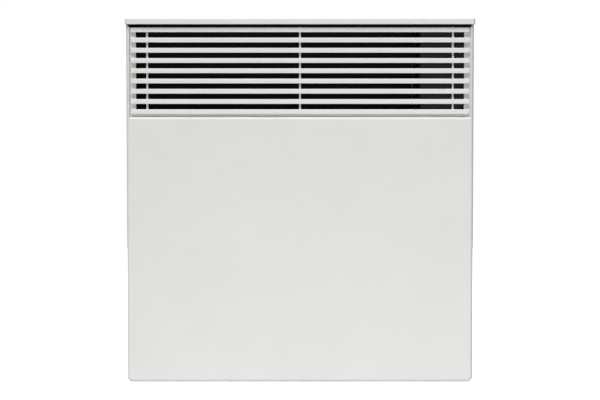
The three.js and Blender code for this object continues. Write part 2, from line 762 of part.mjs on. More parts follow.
// The sheathed rod ends in two flat terminals side by side.
function elementRod() {
  const rod = bar(
    "x",
    ROD_RADIUS,
    ROD_RIGHT - ROD_LEFT,
    (ROD_LEFT + ROD_RIGHT) / 2,
    CHANNEL_MIDDLE,
    ELEMENT_Z,
  );
  const tabs = [-1, 1].map((side) => {
    const y = CHANNEL_MIDDLE + side * TERMINAL_OFFSET;
    return block(
      ROD_RIGHT - 1,
      ROD_RIGHT + TERMINAL_LENGTH,
      y - TERMINAL_SHEET / 2,
      y + TERMINAL_SHEET / 2,
      ELEMENT_Z - TERMINAL_HALF,
      ELEMENT_Z + TERMINAL_HALF,
    );
  });
  return joinAll([rod, ...tabs]);
}

// A spool-shaped bush whose groove sits in the hole of a sheet.
function elementBush(x) {
  const groove = THIN_SHEET / 2 + FIT;
  const half = BUSH_LENGTH / 2;
  const bore = ROD_RADIUS + FIT;
  const profile = [
    [bore, -half],
    [BUSH_RADIUS - 1, -half],
    [BUSH_RADIUS, -half + 1],
    [BUSH_RADIUS, -groove],
    [BUSH_GROOVE, -groove],
    [BUSH_GROOVE, groove],
    [BUSH_RADIUS, groove],
    [BUSH_RADIUS, half - 1],
    [BUSH_RADIUS - 1, half],
    [bore, half],
    [bore, -half],
  ];
  const points = profile.map(([r, h]) => new THREE.Vector2(r, h));
  const geometry = new THREE.LatheGeometry(points, ROUND_STEPS);
  return solid(moved(geometry.rotateZ(-Math.PI / 2), x, CHANNEL_MIDDLE, ELEMENT_Z));
}

const BRACKET_X = ELEMENT_X - ELEMENT_HALF - ROD_MARGIN;
const BRACKET_REACH = 5; // sheet left beyond the bush
const BRACKET_FLANGE = 14;
const BRACKET_HALF = 18;

function elementBracket() {
  const back = SHELL_BACK - THIN_SHEET / 2;
  const section = foldedSection(
    [
      [BRACKET_X, CHANNEL_MIDDLE - BUSH_RADIUS - BRACKET_REACH],
      [BRACKET_X, back],
      [BRACKET_X + BRACKET_FLANGE, back],
    ],
    THIN_SHEET,
    INNER_BEND,
  );
  const hole = bar("x", BUSH_GROOVE + FIT, BEYOND, BRACKET_X, CHANNEL_MIDDLE, ELEMENT_Z);
  return alongZ(section, ELEMENT_Z - BRACKET_HALF, ELEMENT_Z + BRACKET_HALF).subtract(hole);
}

// ---- controls in the top cover ----

const BEZEL_FLOOR = HEIGHT - BEZEL_DEPTH;
const BEZEL_UNDER = BEZEL_FLOOR - MOULD_WALL;
const SWITCH_HALF_X = 7.5;
const SWITCH_HALF_Y = 11;
const LENS_X = BEZEL_X + LENS_OFFSET_X;
const LENS_Y = TRAY_FRONT + LENS_MARGIN;
const BEZEL_CORNER = 3;
const BODY_FOOT = BEZEL_FLOOR - THERMOSTAT_DEPTH;

function bezelBlock(grow, z0, z1) {
  const outline = roundedRectangle(
    2 * (BEZEL_HALF_X + grow),
    2 * (BEZEL_HALF_Y + grow),
    BEZEL_CORNER + grow,
    BEZEL_X,
    BEZEL_Y,
  );
  return alongZ(outline, z0, z1);
}

// A recessed tray that hangs by its rim below the cover.
function controlBezel() {
  const rimTop = HEIGHT - SHELL_SHEET - FIT;
  const rim = bezelBlock(BEZEL_RIM, rimTop - MOULD_WALL, rimTop);
  const tray = bezelBlock(MOULD_WALL, BEZEL_UNDER, rimTop);
  const switchHole = roundedRectangle(
    2 * (SWITCH_HALF_X + FIT),
    2 * (SWITCH_HALF_Y + FIT),
    SWITCH_CORNER,
    ROCKER_X,
    BEZEL_Y,
  );
  return cutAll(rim.add(tray), [
    bezelBlock(0, BEZEL_FLOOR, HEIGHT),
    bar("z", SPINDLE_RADIUS + FIT, BEYOND, KNOB_X, BEZEL_Y, BEZEL_FLOOR),
    bar("z", LENS_RADIUS + FIT, BEYOND, LENS_X, LENS_Y, BEZEL_FLOOR, SMALL_STEPS),
    alongZ(switchHole, BEZEL_UNDER - 1, HEIGHT),
  ]);
}

const HOUSING_TOP = BEZEL_UNDER - FIT;
const PORT_OFFSET = 15; // lead ports left and right of the tray's middle
const LEAD_PORTS = [BEZEL_X - PORT_OFFSET, BEZEL_X + PORT_OFFSET];
const PORT_Y = BEZEL_Y + LEAD_HOLE;

// A moulded box that hangs under the tray and keeps the controls out of the warm air.
function controlHousing() {
  const box = bezelBlock(MOULD_WALL, HOUSING_FLOOR, HOUSING_TOP);
  const ports = LEAD_PORTS.map((x) =>
    bar("z", LEAD_HOLE + 1, BEYOND, x, PORT_Y, HOUSING_FLOOR, SMALL_STEPS),
  );
  return cutAll(box, [bezelBlock(0, HOUSING_FLOOR + MOULD_WALL, HEIGHT), ...ports]);
}

const THERMOSTAT_HALF = 12;
const THERMOSTAT_CORNER = 2;
const SPINDLE_FOOT = BEZEL_FLOOR - SPINDLE_SEAT;
const SPINDLE_TOP = BEZEL_FLOOR + SPINDLE_RISE;
const KNOB_FOOT = BEZEL_FLOOR + FIT;
const FLUTES = 18;
const FLUTE_DEPTH = 0.6;
const KNOB_EDGE = 1;
const POINTER_HALF = 0.8;
const POINTER_RISE = 0.6;
const POINTER_MARGIN = 2; // pointer's ends inside the knob's rim and outside its middle

function thermostatBody() {
  const width = 2 * THERMOSTAT_HALF;
  const outline = roundedRectangle(width, width, THERMOSTAT_CORNER, KNOB_X, BEZEL_Y);
  const boreMiddle = SPINDLE_FOOT - FIT + BEYOND / 2;
  const bore = bar("z", SPINDLE_RADIUS + FIT, BEYOND, KNOB_X, BEZEL_Y, boreMiddle);
  return alongZ(outline, BODY_FOOT, HOUSING_TOP - FIT).subtract(bore);
}

function thermostatSpindle() {
  const length = SPINDLE_TOP - SPINDLE_FOOT;
  return bar("z", SPINDLE_RADIUS, length, KNOB_X, BEZEL_Y, SPINDLE_FOOT + length / 2);
}

// A fluted knob with a raised pointer, on a blind bore for its spindle.
function thermostatKnob() {
  const points = [];
  const steps = FLUTES * 4;
  for (let i = 0; i < steps; i++) {
    const angle = (i / steps) * 2 * Math.PI;
    const radius = KNOB_RADIUS - (FLUTE_DEPTH * (1 + Math.cos(FLUTES * angle))) / 2;
    points.push([radius * Math.cos(angle), radius * Math.sin(angle)]);
  }
  const geometry = new THREE.ExtrudeGeometry(polygon(points), {
    depth: KNOB_HEIGHT - 2 * KNOB_EDGE,
    bevelThickness: KNOB_EDGE,
    bevelSize: KNOB_EDGE,
    bevelOffset: -KNOB_EDGE,
    bevelSegments: 2,
  });
  const body = solid(moved(geometry, KNOB_X, BEZEL_Y, KNOB_FOOT + KNOB_EDGE));
  const top = KNOB_FOOT + KNOB_HEIGHT;
  const pointer = block(
    KNOB_X - POINTER_HALF,
    KNOB_X + POINTER_HALF,
    BEZEL_Y - KNOB_RADIUS + POINTER_MARGIN,
    BEZEL_Y - POINTER_MARGIN,
    top - KNOB_EDGE,
    top + POINTER_RISE,
  );
  const bore = bar("z", SPINDLE_RADIUS + FIT, BEYOND, KNOB_X, BEZEL_Y, SPINDLE_TOP + FIT - BEYOND / 2);
  return body.add(pointer).subtract(bore);
}

const ROCKER_Z = BEZEL_FLOOR - 1;
const ROCKER_REST = 7; // degrees that the rocker leans at either end of its travel
const ROCKER_MIDDLE = 4; // degrees: middle of each round end, and half of its spread
const ROCKER_SPREAD = 24;
const ROCKER_DIP = 2.2; // height of the top's middle above the pivot
const ROCKER_STUB = 1.2;
const ROCKER_ROOM = 7; // pocket below the rocker's pivot
const SWITCH_FLANGE = 1.5;
const SWITCH_CORNER = 1;

function switchBody() {
  const flangeTop = BEZEL_FLOOR + FIT + SWITCH_FLANGE;
  const body = alongZ(
    roundedRectangle(2 * SWITCH_HALF_X, 2 * SWITCH_HALF_Y, SWITCH_CORNER, ROCKER_X, BEZEL_Y),
    BODY_FOOT,
    flangeTop,
  );
  const flange = alongZ(
    roundedRectangle(
      2 * (SWITCH_HALF_X + SWITCH_FLANGE),
      2 * (SWITCH_HALF_Y + SWITCH_FLANGE),
      SWITCH_CORNER + SWITCH_FLANGE / 2,
      ROCKER_X,
      BEZEL_Y,
    ),
    BEZEL_FLOOR + FIT,
    flangeTop,
  );
  const halfX = ROCKER_WIDTH / 2 + FIT;
  const halfY = ROCKER_LENGTH / 2 + FIT;
  const pocket = block(
    ROCKER_X - halfX,
    ROCKER_X + halfX,
    BEZEL_Y - halfY,
    BEZEL_Y + halfY,
    ROCKER_Z - ROCKER_ROOM,
    HEIGHT,
  );
  const pivot = bar("x", ROCKER_STUB + FIT, BEYOND, ROCKER_X, BEZEL_Y, ROCKER_Z, SMALL_STEPS);
  return body.add(flange).subtract(pocket).subtract(pivot);
}

// The rocker's ends follow a circle about its pivot, so that it clears its pocket as it tips.
function powerRocker() {
  const radius = ROCKER_LENGTH / 2 - FIT;
  const lean = THREE.MathUtils.degToRad(ROCKER_REST);
  const points = [];
  for (const middle of [ROCKER_MIDDLE, 180 - ROCKER_MIDDLE]) {
    for (let i = 0; i <= ARC_STEPS; i++) {
      const degrees = middle + ROCKER_SPREAD * ((2 * i) / ARC_STEPS - 1);
      const angle = THREE.MathUtils.degToRad(degrees);
      points.push([radius * Math.cos(angle), radius * Math.sin(angle)]);
    }
    if (middle === ROCKER_MIDDLE) points.push([0, ROCKER_DIP]);
  }
  const tilted = points.map(([y, z]) => [
    BEZEL_Y + y * Math.cos(lean) - z * Math.sin(lean),
    ROCKER_Z + y * Math.sin(lean) + z * Math.cos(lean),
  ]);
  const body = alongX(polygon(tilted), ROCKER_X - ROCKER_WIDTH / 2, ROCKER_X + ROCKER_WIDTH / 2);
  const stubs = bar("x", ROCKER_STUB, 2 * (SWITCH_HALF_X - FIT), ROCKER_X, BEZEL_Y, ROCKER_Z, SMALL_STEPS);
  return body.add(stubs);
}

const LENS_BODY = 5; // lamp body below the tray
const LENS_FLANGE = 1;
const LENS_RISE = 0.8;
const LENS_DOME = 1.4;

function pilotLens() {
  const seat = BEZEL_UNDER - FIT;
  const foot = seat - LENS_BODY;
  const flange = LENS_RADIUS + LENS_FLANGE;
  const rim = BEZEL_FLOOR + LENS_RISE;
  const profile = [[0, foot], [flange, foot], [flange, seat], [LENS_RADIUS, seat], [LENS_RADIUS, rim]];
  for (let i = 1; i < ARC_STEPS; i++) {
    const angle = ((i / ARC_STEPS) * Math.PI) / 2;
    profile.push([LENS_RADIUS * Math.cos(angle), rim + LENS_DOME * Math.sin(angle)]);
  }
  profile.push([0, rim + LENS_DOME]);
  const points = profile.map(([r, z]) => new THREE.Vector2(r, z));
  const geometry = new THREE.LatheGeometry(points, ROUND_STEPS).rotateX(Math.PI / 2);
  return solid(moved(geometry, LENS_X, LENS_Y, 0));
}

// ---- electrics in the side compartment ----

const PARTITION_SIDE = PARTITION_X + THIN_SHEET / 2 + FIT;
const BLOCK_INSET = 38;
const BLOCK_X = BODY_HALF - BLOCK_INSET;
const BLOCK_HALF = 17;
const BLOCK_Z = 64;
const BLOCK_HALF_Z = 8;
const BLOCK_BACK = SHELL_BACK - FIT;
const BLOCK_DEPTH = 13;
const POLE_PITCH = 11;
const POLE_NOTCH = 1.2; // width and depth of the notches that part the poles
const POLE_NOTCH_DEPTH = 5;
const CLAMP_RADIUS = 2.6;
const CLAMP_DEPTH = 3;
const CLAMP_OFFSET = 3.5;
const SENSOR_GAP = 8; // bulb's middle off the partition
const SENSOR_X = PARTITION_SIDE + SENSOR_GAP;
const SENSOR_RADIUS = 3;
const SENSOR_FOOT = 24;
const SENSOR_LENGTH = 44;
const SENSOR_OFFSET = 10;
const SENSOR_Y = CHANNEL_MIDDLE - SENSOR_OFFSET;

function terminalBlock() {
  const front = BLOCK_BACK - BLOCK_DEPTH;
  const body = block(
    BLOCK_X - BLOCK_HALF,
    BLOCK_X + BLOCK_HALF,
    front,
    BLOCK_BACK,
    BLOCK_Z - BLOCK_HALF_Z,
    BLOCK_Z + BLOCK_HALF_Z,
  );
  const cuts = [];
  for (const pole of [-1, 0, 1]) {
    const x = BLOCK_X + pole * POLE_PITCH;
    for (const side of [-1, 1]) {
      const z = BLOCK_Z + side * CLAMP_OFFSET;
      cuts.push(bar("y", CLAMP_RADIUS, 2 * CLAMP_DEPTH, x, front, z, SMALL_STEPS));
    }
  }
  for (const side of [-1, 1]) {
    const x = BLOCK_X + (side * POLE_PITCH) / 2;
    const half = POLE_NOTCH / 2;
    cuts.push(block(x - half, x + half, -DEPTH, front + POLE_NOTCH_DEPTH, 0, HEIGHT));
  }
  return cutAll(body, cuts);
}

const GLAND_FLANGE = 3; // how far the hexagons reach past the shank
const GLAND_OUTER = 6;
const GLAND_INNER = 4;
const GLAND_TAIL = 6; // shank past the inner hexagon
const GLAND_WALL = 2.4;
const HEXAGON = 6;

// A gland through the casing's back: hexagonal heads clamp the sheet, and a bore runs through.
function cableGland() {
  const outerSeat = CASING_BACK + FIT;
  const innerSeat = CASING_FRONT - FIT;
  const back = outerSeat + GLAND_OUTER;
  const front = innerSeat - GLAND_INNER - GLAND_TAIL;
  const radius = GLAND_RADIUS + GLAND_FLANGE;
  const shank = bar("y", GLAND_RADIUS, back - front, GLAND_X, (back + front) / 2, GLAND_Z);
  const outer = bar("y", radius, GLAND_OUTER, GLAND_X, outerSeat + GLAND_OUTER / 2, GLAND_Z, HEXAGON);
  const inner = bar("y", radius, GLAND_INNER, GLAND_X, innerSeat - GLAND_INNER / 2, GLAND_Z, HEXAGON);
  const bore = bar("y", GLAND_RADIUS - GLAND_WALL, 2 * BEYOND, GLAND_X, CASING_BACK, GLAND_Z);
  return joinAll([shank, outer, inner]).subtract(bore);
}

const CUTOUT_BACK = 5; // cap's reach to either side of the partition
const CUTOUT_FRONT = 9;
const CUTOUT_RIM = 3;
const CUTOUT_RIM_SHEET = 1.5;
const CUTOUT_TAB_OFFSET = 4;
const CUTOUT_TAB_HALF = 3;
const CUTOUT_TAB_LENGTH = 7;

function thermalCutout() {
  const left = PARTITION_X - CUTOUT_BACK;
  const right = PARTITION_X + CUTOUT_FRONT;
  const cap = bar("x", CUTOUT_RADIUS, right - left, (left + right) / 2, CHANNEL_MIDDLE, CUTOUT_Z);
  const rim = bar(
    "x",
    CUTOUT_RADIUS + CUTOUT_RIM,
    CUTOUT_RIM_SHEET,
    PARTITION_SIDE + CUTOUT_RIM_SHEET / 2,
    CHANNEL_MIDDLE,
    CUTOUT_Z,
  );
  const tabs = [-1, 1].map((side) => {
    const z = CUTOUT_Z + side * CUTOUT_TAB_OFFSET;
    return block(
      right - 1,
      right + CUTOUT_TAB_LENGTH,
      CHANNEL_MIDDLE - CUTOUT_TAB_HALF,
      CHANNEL_MIDDLE + CUTOUT_TAB_HALF,
      z - TERMINAL_SHEET / 2,
      z + TERMINAL_SHEET / 2,
    );
  });
  return joinAll([cap, rim, ...tabs]);
}

function sensorBulb() {
  return bar("z", SENSOR_RADIUS, SENSOR_LENGTH, SENSOR_X, SENSOR_Y, SENSOR_FOOT + SENSOR_LENGTH / 2);
}

const CLIP_FLANGE = 8;
const CLIP_RISE = 16; // clip's foot above the bulb's
const CLIP_HEIGHT = 10;

// A spring clip that holds the bulb against the partition.
function sensorClip() {
  const reach = SENSOR_RADIUS + FIT + THIN_SHEET / 2;
  const back = PARTITION_SIDE + THIN_SHEET / 2;
  const section = foldedSection(
    [
      [back, SENSOR_Y - reach - CLIP_FLANGE],
      [back, SENSOR_Y - reach],
      [SENSOR_X + reach, SENSOR_Y - reach],
      [SENSOR_X + reach, SENSOR_Y + reach],
      [SENSOR_X, SENSOR_Y + reach],
    ],
    THIN_SHEET,
    INNER_BEND,
  );
  const foot = SENSOR_FOOT + CLIP_RISE;
  return alongZ(section, foot, foot + CLIP_HEIGHT);
}

// A round lead carried along a smooth curve through its points.
function lead(points, radius) {
  const path = new THREE.CatmullRomCurve3(
    points.map(([x, y, z]) => new THREE.Vector3(x, y, z)),
    false,
    "centripetal",
  );
  const ring = new THREE.Shape();
  for (let i = 0; i < LEAD_SIDES; i++) {
    const angle = (i / LEAD_SIDES) * 2 * Math.PI;
    const corner = [radius * Math.cos(angle), radius * Math.sin(angle)];
    if (i) ring.lineTo(...corner);
    else ring.moveTo(...corner);
  }
  ring.closePath();
  return solid(new THREE.ExtrudeGeometry(ring, { steps: LEAD_STEPS, extrudePath: path }));
}

const LEAD_RADIUS = 1.2;
const CAPILLARY_RADIUS = 0.8;
const LEAD_GAP = FIT + 0.1;
const RUN = 12; // straight run of a lead through a port or out of a terminal
const LOOP = 6; // sideways reach of a lead's loop
const NEAR = 3; // short straight run at a flat terminal
const SIDE_BAY = 22; // leads inside the body's right side
const BLOCK_TOP = BLOCK_Z + BLOCK_HALF_Z + LEAD_GAP;
const BLOCK_Y = BLOCK_BACK - 5;
const SOCKET_Z = BODY_FOOT - LEAD_GAP;
const ROD_TAB_X = ROD_RIGHT + TERMINAL_LENGTH + LEAD_GAP;
const CUTOUT_TAB_X = PARTITION_X + CUTOUT_FRONT + CUTOUT_TAB_LENGTH + LEAD_GAP;

// A height part of the way from the terminal block up to the housing's floor.
function bayHeight(share) {
  return BLOCK_TOP + share * (HOUSING_FLOOR - BLOCK_TOP);
}

// The point straight below or above a port in the housing's floor.
function atPort(x, rise) {
  return [x, PORT_Y, HOUSING_FLOOR + rise];
}

function supplyLead() {
  const x = BLOCK_X + POLE_PITCH;
  const port = LEAD_PORTS[1];
  return [
    [x, BLOCK_Y, BLOCK_TOP],
    [x, BLOCK_Y - 2, BLOCK_TOP + RUN],
    [BODY_HALF - SIDE_BAY, BLOCK_Y - RUN, bayHeight(0.35)],
    [BODY_HALF - SIDE_BAY, BEZEL_Y + LOOP, bayHeight(0.75)],
    atPort(port, -RUN),
    atPort(port, RUN),
    [ROCKER_X + 2, BEZEL_Y + NEAR, SOCKET_Z - RUN],
    [ROCKER_X + 2, BEZEL_Y + NEAR, SOCKET_Z],
  ];
}

function switchLead() {
  const y = BEZEL_Y - LOOP;
  return [
    [ROCKER_X - NEAR, y, SOCKET_Z],
    [ROCKER_X - NEAR - 1, y - 1, SOCKET_Z - RUN],
    [(ROCKER_X + KNOB_X) / 2, y - NEAR, SOCKET_Z - 2 * RUN],
    [KNOB_X + LOOP + 1, y - 1, SOCKET_Z - RUN],
    [KNOB_X + LOOP, y, SOCKET_Z],
  ];
}

function cutoutLead() {
  const port = LEAD_PORTS[0] + 2;
  const tab = CUTOUT_Z + CUTOUT_TAB_OFFSET;
  return [
    [KNOB_X - 2, BEZEL_Y + 2, SOCKET_Z],
    [KNOB_X - 2, BEZEL_Y + 2, SOCKET_Z - RUN],
    atPort(port, RUN),
    atPort(port, -RUN),
    [port + LOOP, PORT_Y, bayHeight(0.8)],
    [port + LOOP, PORT_Y, bayHeight(0.5)],
    [CUTOUT_TAB_X + LOOP, CHANNEL_MIDDLE, tab + LOOP],
    [CUTOUT_TAB_X + NEAR, CHANNEL_MIDDLE, tab],
    [CUTOUT_TAB_X, CHANNEL_MIDDLE, tab],
  ];
}

function elementLead() {
  const tab = CUTOUT_Z - CUTOUT_TAB_OFFSET;
  const y = CHANNEL_MIDDLE - TERMINAL_OFFSET;
  return [
    [CUTOUT_TAB_X, CHANNEL_MIDDLE, tab],
    [CUTOUT_TAB_X + NEAR, CHANNEL_MIDDLE, tab],
    [CUTOUT_TAB_X + LOOP, CHANNEL_MIDDLE, tab - LOOP],
    [ROD_TAB_X + LOOP, y, (CUTOUT_Z + ELEMENT_Z) / 2],
    [ROD_TAB_X + LOOP + 2, y, ELEMENT_Z + RUN],
    [ROD_TAB_X + NEAR, y, ELEMENT_Z],
    [ROD_TAB_X, y, ELEMENT_Z],
  ];
}

function returnLead() {
  const y = CHANNEL_MIDDLE + TERMINAL_OFFSET;
  return [
    [ROD_TAB_X, y, ELEMENT_Z],
    [ROD_TAB_X + NEAR, y, ELEMENT_Z],
    [ROD_TAB_X + LOOP, y + 2, ELEMENT_Z + LOOP],
    [ROD_TAB_X + LOOP + 1, y + LOOP, ELEMENT_Z + RUN + NEAR],
    [BLOCK_X, BLOCK_Y - 2, BLOCK_TOP + RUN],
    [BLOCK_X, BLOCK_Y, BLOCK_TOP],
  ];
}

function capillary() {
  const top = SENSOR_FOOT + SENSOR_LENGTH;
  const port = LEAD_PORTS[0] - 2;
  return [
    [SENSOR_X, SENSOR_Y, top + LEAD_GAP],
    [SENSOR_X, SENSOR_Y, top + RUN],
    [SENSOR_X + NEAR, SENSOR_Y - LOOP, bayHeight(0.5)],
    [port, SENSOR_Y, bayHeight(0.8)],
    atPort(port, -RUN),
    atPort(port, RUN),
    [KNOB_X - LOOP - 1, BEZEL_Y + NEAR, SOCKET_Z - RUN],
    [KNOB_X - LOOP - 1, BEZEL_Y + NEAR, SOCKET_Z],
  ];
}

function leads() {
  return {
    lead_supply_to_switch: lead(supplyLead(), LEAD_RADIUS),
    lead_switch_to_thermostat: lead(switchLead(), LEAD_RADIUS),
    lead_thermostat_to_cutout: lead(cutoutLead(), LEAD_RADIUS),
    lead_cutout_to_element: lead(elementLead(), LEAD_RADIUS),
    lead_element_to_terminal: lead(returnLead(), LEAD_RADIUS),
    sensor_capillary: lead(capillary(), CAPILLARY_RADIUS),
  };
}

// ---- wall bracket and latches ----

const LEG_FOOT = LOWER_RAIL_HEIGHT - RAIL_WIDTH / 2;
const LEG_RISE = 14; // leg above the latch's pivot
const LEG_TOP = LATCH_Z + LEG_RISE;
const LEG_CORNER = 6;
const LATCH_REACH = 28;
const LATCH_CLEAR = 46; // height below the pivot where the leg's flanges end
const LATCH_PLATE = 3;
const FINGER_WIDTH = 9;
const THUMB_WIDTH = 7;
const THUMB_LENGTH = 13;
const LATCH_CORNER = 3;
const PIN_RADIUS = 2.5;
const PIN_HEAD = 2;
const PIN_HEAD_SHEET = 1.5;
const WALL_HOLE_X = 75;
const WALL_SLOT_WIDTH = 6;
const WALL_SLOT_LENGTH = 14;
const HOOK_ROOT = 10; // where the hook leaves the leg's flange
const HOOK_DROP = 4;
const HOOK_RISE = 9;
const HOOK_TIP = 3;

function bracketLeg(x) {
  const half = (LEG_WIDTH - BRACKET_SHEET) / 2;
  const section = foldedSection(
    [
      [x - half, -LEG_DEPTH],
      [x - half, -BRACKET_SHEET / 2],
      [x + half, -BRACKET_SHEET / 2],
      [x + half, -LEG_DEPTH],
    ],
    BRACKET_SHEET,
    BRACKET_SHEET,
  );
  const tongue = roundedRectangle(LEG_WIDTH, LEG_TOP - LEG_FOOT, LEG_CORNER, x, (LEG_TOP + LEG_FOOT) / 2);
  const leg = alongZ(section, LEG_FOOT, LATCH_Z - LATCH_CLEAR);
  const pinHole = bar("y", PIN_RADIUS + FIT, BEYOND, x, 0, LATCH_Z);
  return leg.add(alongY(tongue, -BRACKET_SHEET, 0)).subtract(pinHole);
}

function bracketRail(z) {
  const half = (RAIL_WIDTH - BRACKET_SHEET) / 2;
  const section = foldedSection(
    [
      [-LEG_DEPTH / 2, z - half],
      [-BRACKET_SHEET / 2, z - half],
      [-BRACKET_SHEET / 2, z + half],
      [-LEG_DEPTH / 2, z + half],
    ],
    BRACKET_SHEET,
    BRACKET_SHEET,
  );
  const holes = [-1, 1].map((side) => {
    const slot = roundedRectangle(
      WALL_SLOT_WIDTH,
      WALL_SLOT_LENGTH,
      WALL_SLOT_WIDTH / 2 - 0.1,
      side * WALL_HOLE_X,
      z,
      COARSE_STEPS,
    );
    return alongY(slot, -BEYOND, BEYOND);
  });
  const reach = LEG_X - LEG_WIDTH / 2 + BRACKET_SHEET;
  return cutAll(alongX(section, -reach, reach), holes);
}

// A hook on the leg's outer flange reaches through the casing and turns up behind its back plate.
function bracketHook(side) {
  const tip = CASING_FRONT - FIT;
  const outline = [
    [-HOOK_ROOT, HOOK_FOOT - HOOK_DROP],
    [tip - HOOK_TIP, HOOK_FOOT - HOOK_DROP],
    [tip - HOOK_TIP, HOOK_FOOT + HOOK_RISE],
    [tip - HOOK_TIP / 4, HOOK_FOOT + HOOK_RISE + 1],
    [tip, HOOK_FOOT + HOOK_RISE],
    [tip, HOOK_FOOT + HOOK_SEAT],
    [-HOOK_ROOT, HOOK_FOOT + HOOK_SEAT],
  ];
  const x = side * HOOK_X;
  return alongX(polygon(outline.reverse()), x - BRACKET_SHEET / 2, x + BRACKET_SHEET / 2);
}

function wallBracket() {
  return joinAll([
    bracketLeg(-LEG_X),
    bracketLeg(LEG_X),
    bracketRail(RAIL_HEIGHT),
    bracketRail(LOWER_RAIL_HEIGHT),
    bracketHook(-1),
    bracketHook(1),
  ]);
}

const LATCH_FRONT = KEEPER_FRONT + INNER_SHEET / 2 + FIT;
const HUB_RADIUS = 5;

// A quarter-turn latch: a finger hangs behind the keeper, and a thumb tab stands above the pivot.
function latch(x) {
  const plate = LATCH_FRONT + LATCH_PLATE;
  const fingerMiddle = LATCH_Z - LATCH_REACH / 2;
  const finger = roundedRectangle(FINGER_WIDTH, LATCH_REACH, LATCH_CORNER, x, fingerMiddle);
  const thumbMiddle = LATCH_Z + THUMB_LENGTH / 2;
  const thumb = roundedRectangle(THUMB_WIDTH, THUMB_LENGTH, LATCH_CORNER, x, thumbMiddle);
  const disc = bar("y", LATCH_RADIUS, LATCH_PLATE, x, LATCH_FRONT + LATCH_PLATE / 2, LATCH_Z);
  const hubBack = -BRACKET_SHEET - FIT;
  const hub = bar("y", HUB_RADIUS, hubBack - plate + 1, x, (hubBack + plate - 1) / 2, LATCH_Z);
  const body = joinAll([
    disc,
    alongY(finger, LATCH_FRONT, plate),
    alongY(thumb, LATCH_FRONT, plate),
    hub,
  ]);
  return body.subtract(bar("y", PIN_RADIUS + FIT, BEYOND, x, 0, LATCH_Z));
}

function latchPin(x) {
  const headBack = LATCH_FRONT - FIT;
  const headFront = headBack - PIN_HEAD_SHEET;
  const back = -FIT;
  const headMiddle = (headBack + headFront) / 2;
  const shank = bar("y", PIN_RADIUS, back - headFront, x, (back + headFront) / 2, LATCH_Z);
  return shank.add(bar("y", PIN_RADIUS + PIN_HEAD, PIN_HEAD_SHEET, x, headMiddle, LATCH_Z));
}

// ---- finishes ----

const finishes = {
  white: { color: 0xe5e6e3, roughness: 0.5, metalness: 0 },
  black: { color: 0x101010, roughness: 0.7, metalness: 0 },
  zinc: { color: 0xa9adb0, roughness: 0.45, metalness: 0.9 },
  aluminium: { color: 0xc2c5c8, roughness: 0.35, metalness: 1 },
  steel: { color: 0x8f9396, roughness: 0.35, metalness: 1 },
  ceramic: { color: 0xe9e4d8, roughness: 0.6, metalness: 0 },
  moulded: { color: 0x2a2c2e, roughness: 0.55, metalness: 0 },
  control: { color: 0xd9dad7, roughness: 0.4, metalness: 0 },
  lens: { color: 0xc9431f, roughness: 0.2, metalness: 0 },
  leadBrown: { color: 0x5b3420, roughness: 0.5, metalness: 0 },
  leadBlue: { color: 0x2b4f8c, roughness: 0.5, metalness: 0 },
  copper: { color: 0xb06a42, roughness: 0.35, metalness: 1 },
};

const materials = Object.fromEntries(
  Object.entries(finishes).map(([name, values]) => [name, new THREE.MeshStandardMaterial(values)]),
);

// ---- assembly ----

function place(group, name, body, finish) {
  const mesh = new THREE.Mesh(geometryOf(body), materials[finish]);
  mesh.name = name;
  group.add(mesh);
}

// A piece that turns hangs in a group of its own at its pivot.
function placeTurning(group, name, body, finish, pivot) {
  const arm = new THREE.Group();
  arm.position.set(...pivot);
  const geometry = geometryOf(body).translate(-pivot[0], -pivot[1], -pivot[2]);
  const mesh = new THREE.Mesh(geometry, materials[finish]);
  mesh.name = name;
  arm.add(mesh);
  group.add(arm);
}

function addShell(group) {
  place(group, "front_panel", frontPanel(), "white");
  place(group, "rear_casing", rearCasing(), "zinc");
  place(group, "top_cover", topCover(), "white");
  const sides = { left: -1, right: 1 };
  const levels = ["lower", "middle", "upper"];
  for (const [side, sign] of Object.entries(sides)) {
    BACK_SCREW_HEIGHTS.forEach((z, i) => {
      place(group, `casing_screw_${side}_${levels[i]}`, backScrew(sign * BACK_SCREW_X, z), "steel");
    });
  }
  COVER_SCREW_X.forEach((x) => {
    place(group, `cover_screw_${x < 0 ? "left" : "right"}`, backScrew(x, COVER_SCREW_Z), "steel");
  });
}

function addGrille(group) {
  place(group, "grille_frame", grilleFrame(), "white");
  for (let i = 0; i < SLAT_COUNT; i++) {
    place(group, `louvre_slat_${i + 1}`, louvreSlat(i), "white");
  }
  const ties = { left: -TIE_OFFSET, centre: 0, right: TIE_OFFSET };
  for (const [name, x] of Object.entries(ties)) {
    place(group, `grille_tie_${name}`, grilleTie(x), "white");
  }
}

function addChannel(group) {
  place(group, "heat_shield", heatShield(), "zinc");
  place(group, "outlet_deflector", outletDeflector(), "black");
  place(group, "compartment_partition", compartmentPartition(), "black");
  place(group, "element_fins", elementFins(), "aluminium");
  place(group, "element_rod", elementRod(), "steel");
  place(group, "element_bush_left", elementBush(BRACKET_X), "ceramic");
  place(group, "element_bush_right", elementBush(PARTITION_X), "ceramic");
  place(group, "element_bracket_left", elementBracket(), "zinc");
}

function addControls(group) {
  const knobPivot = [KNOB_X, BEZEL_Y, KNOB_FOOT];
  place(group, "control_bezel", controlBezel(), "control");
  place(group, "control_housing", controlHousing(), "black");
  place(group, "thermostat_body", thermostatBody(), "moulded");
  placeTurning(group, "thermostat_spindle", thermostatSpindle(), "steel", knobPivot);
  placeTurning(group, "thermostat_knob", thermostatKnob(), "control", knobPivot);
  place(group, "switch_body", switchBody(), "moulded");
  placeTurning(group, "power_rocker", powerRocker(), "control", [ROCKER_X, BEZEL_Y, ROCKER_Z]);
  place(group, "pilot_lens", pilotLens(), "lens");
}

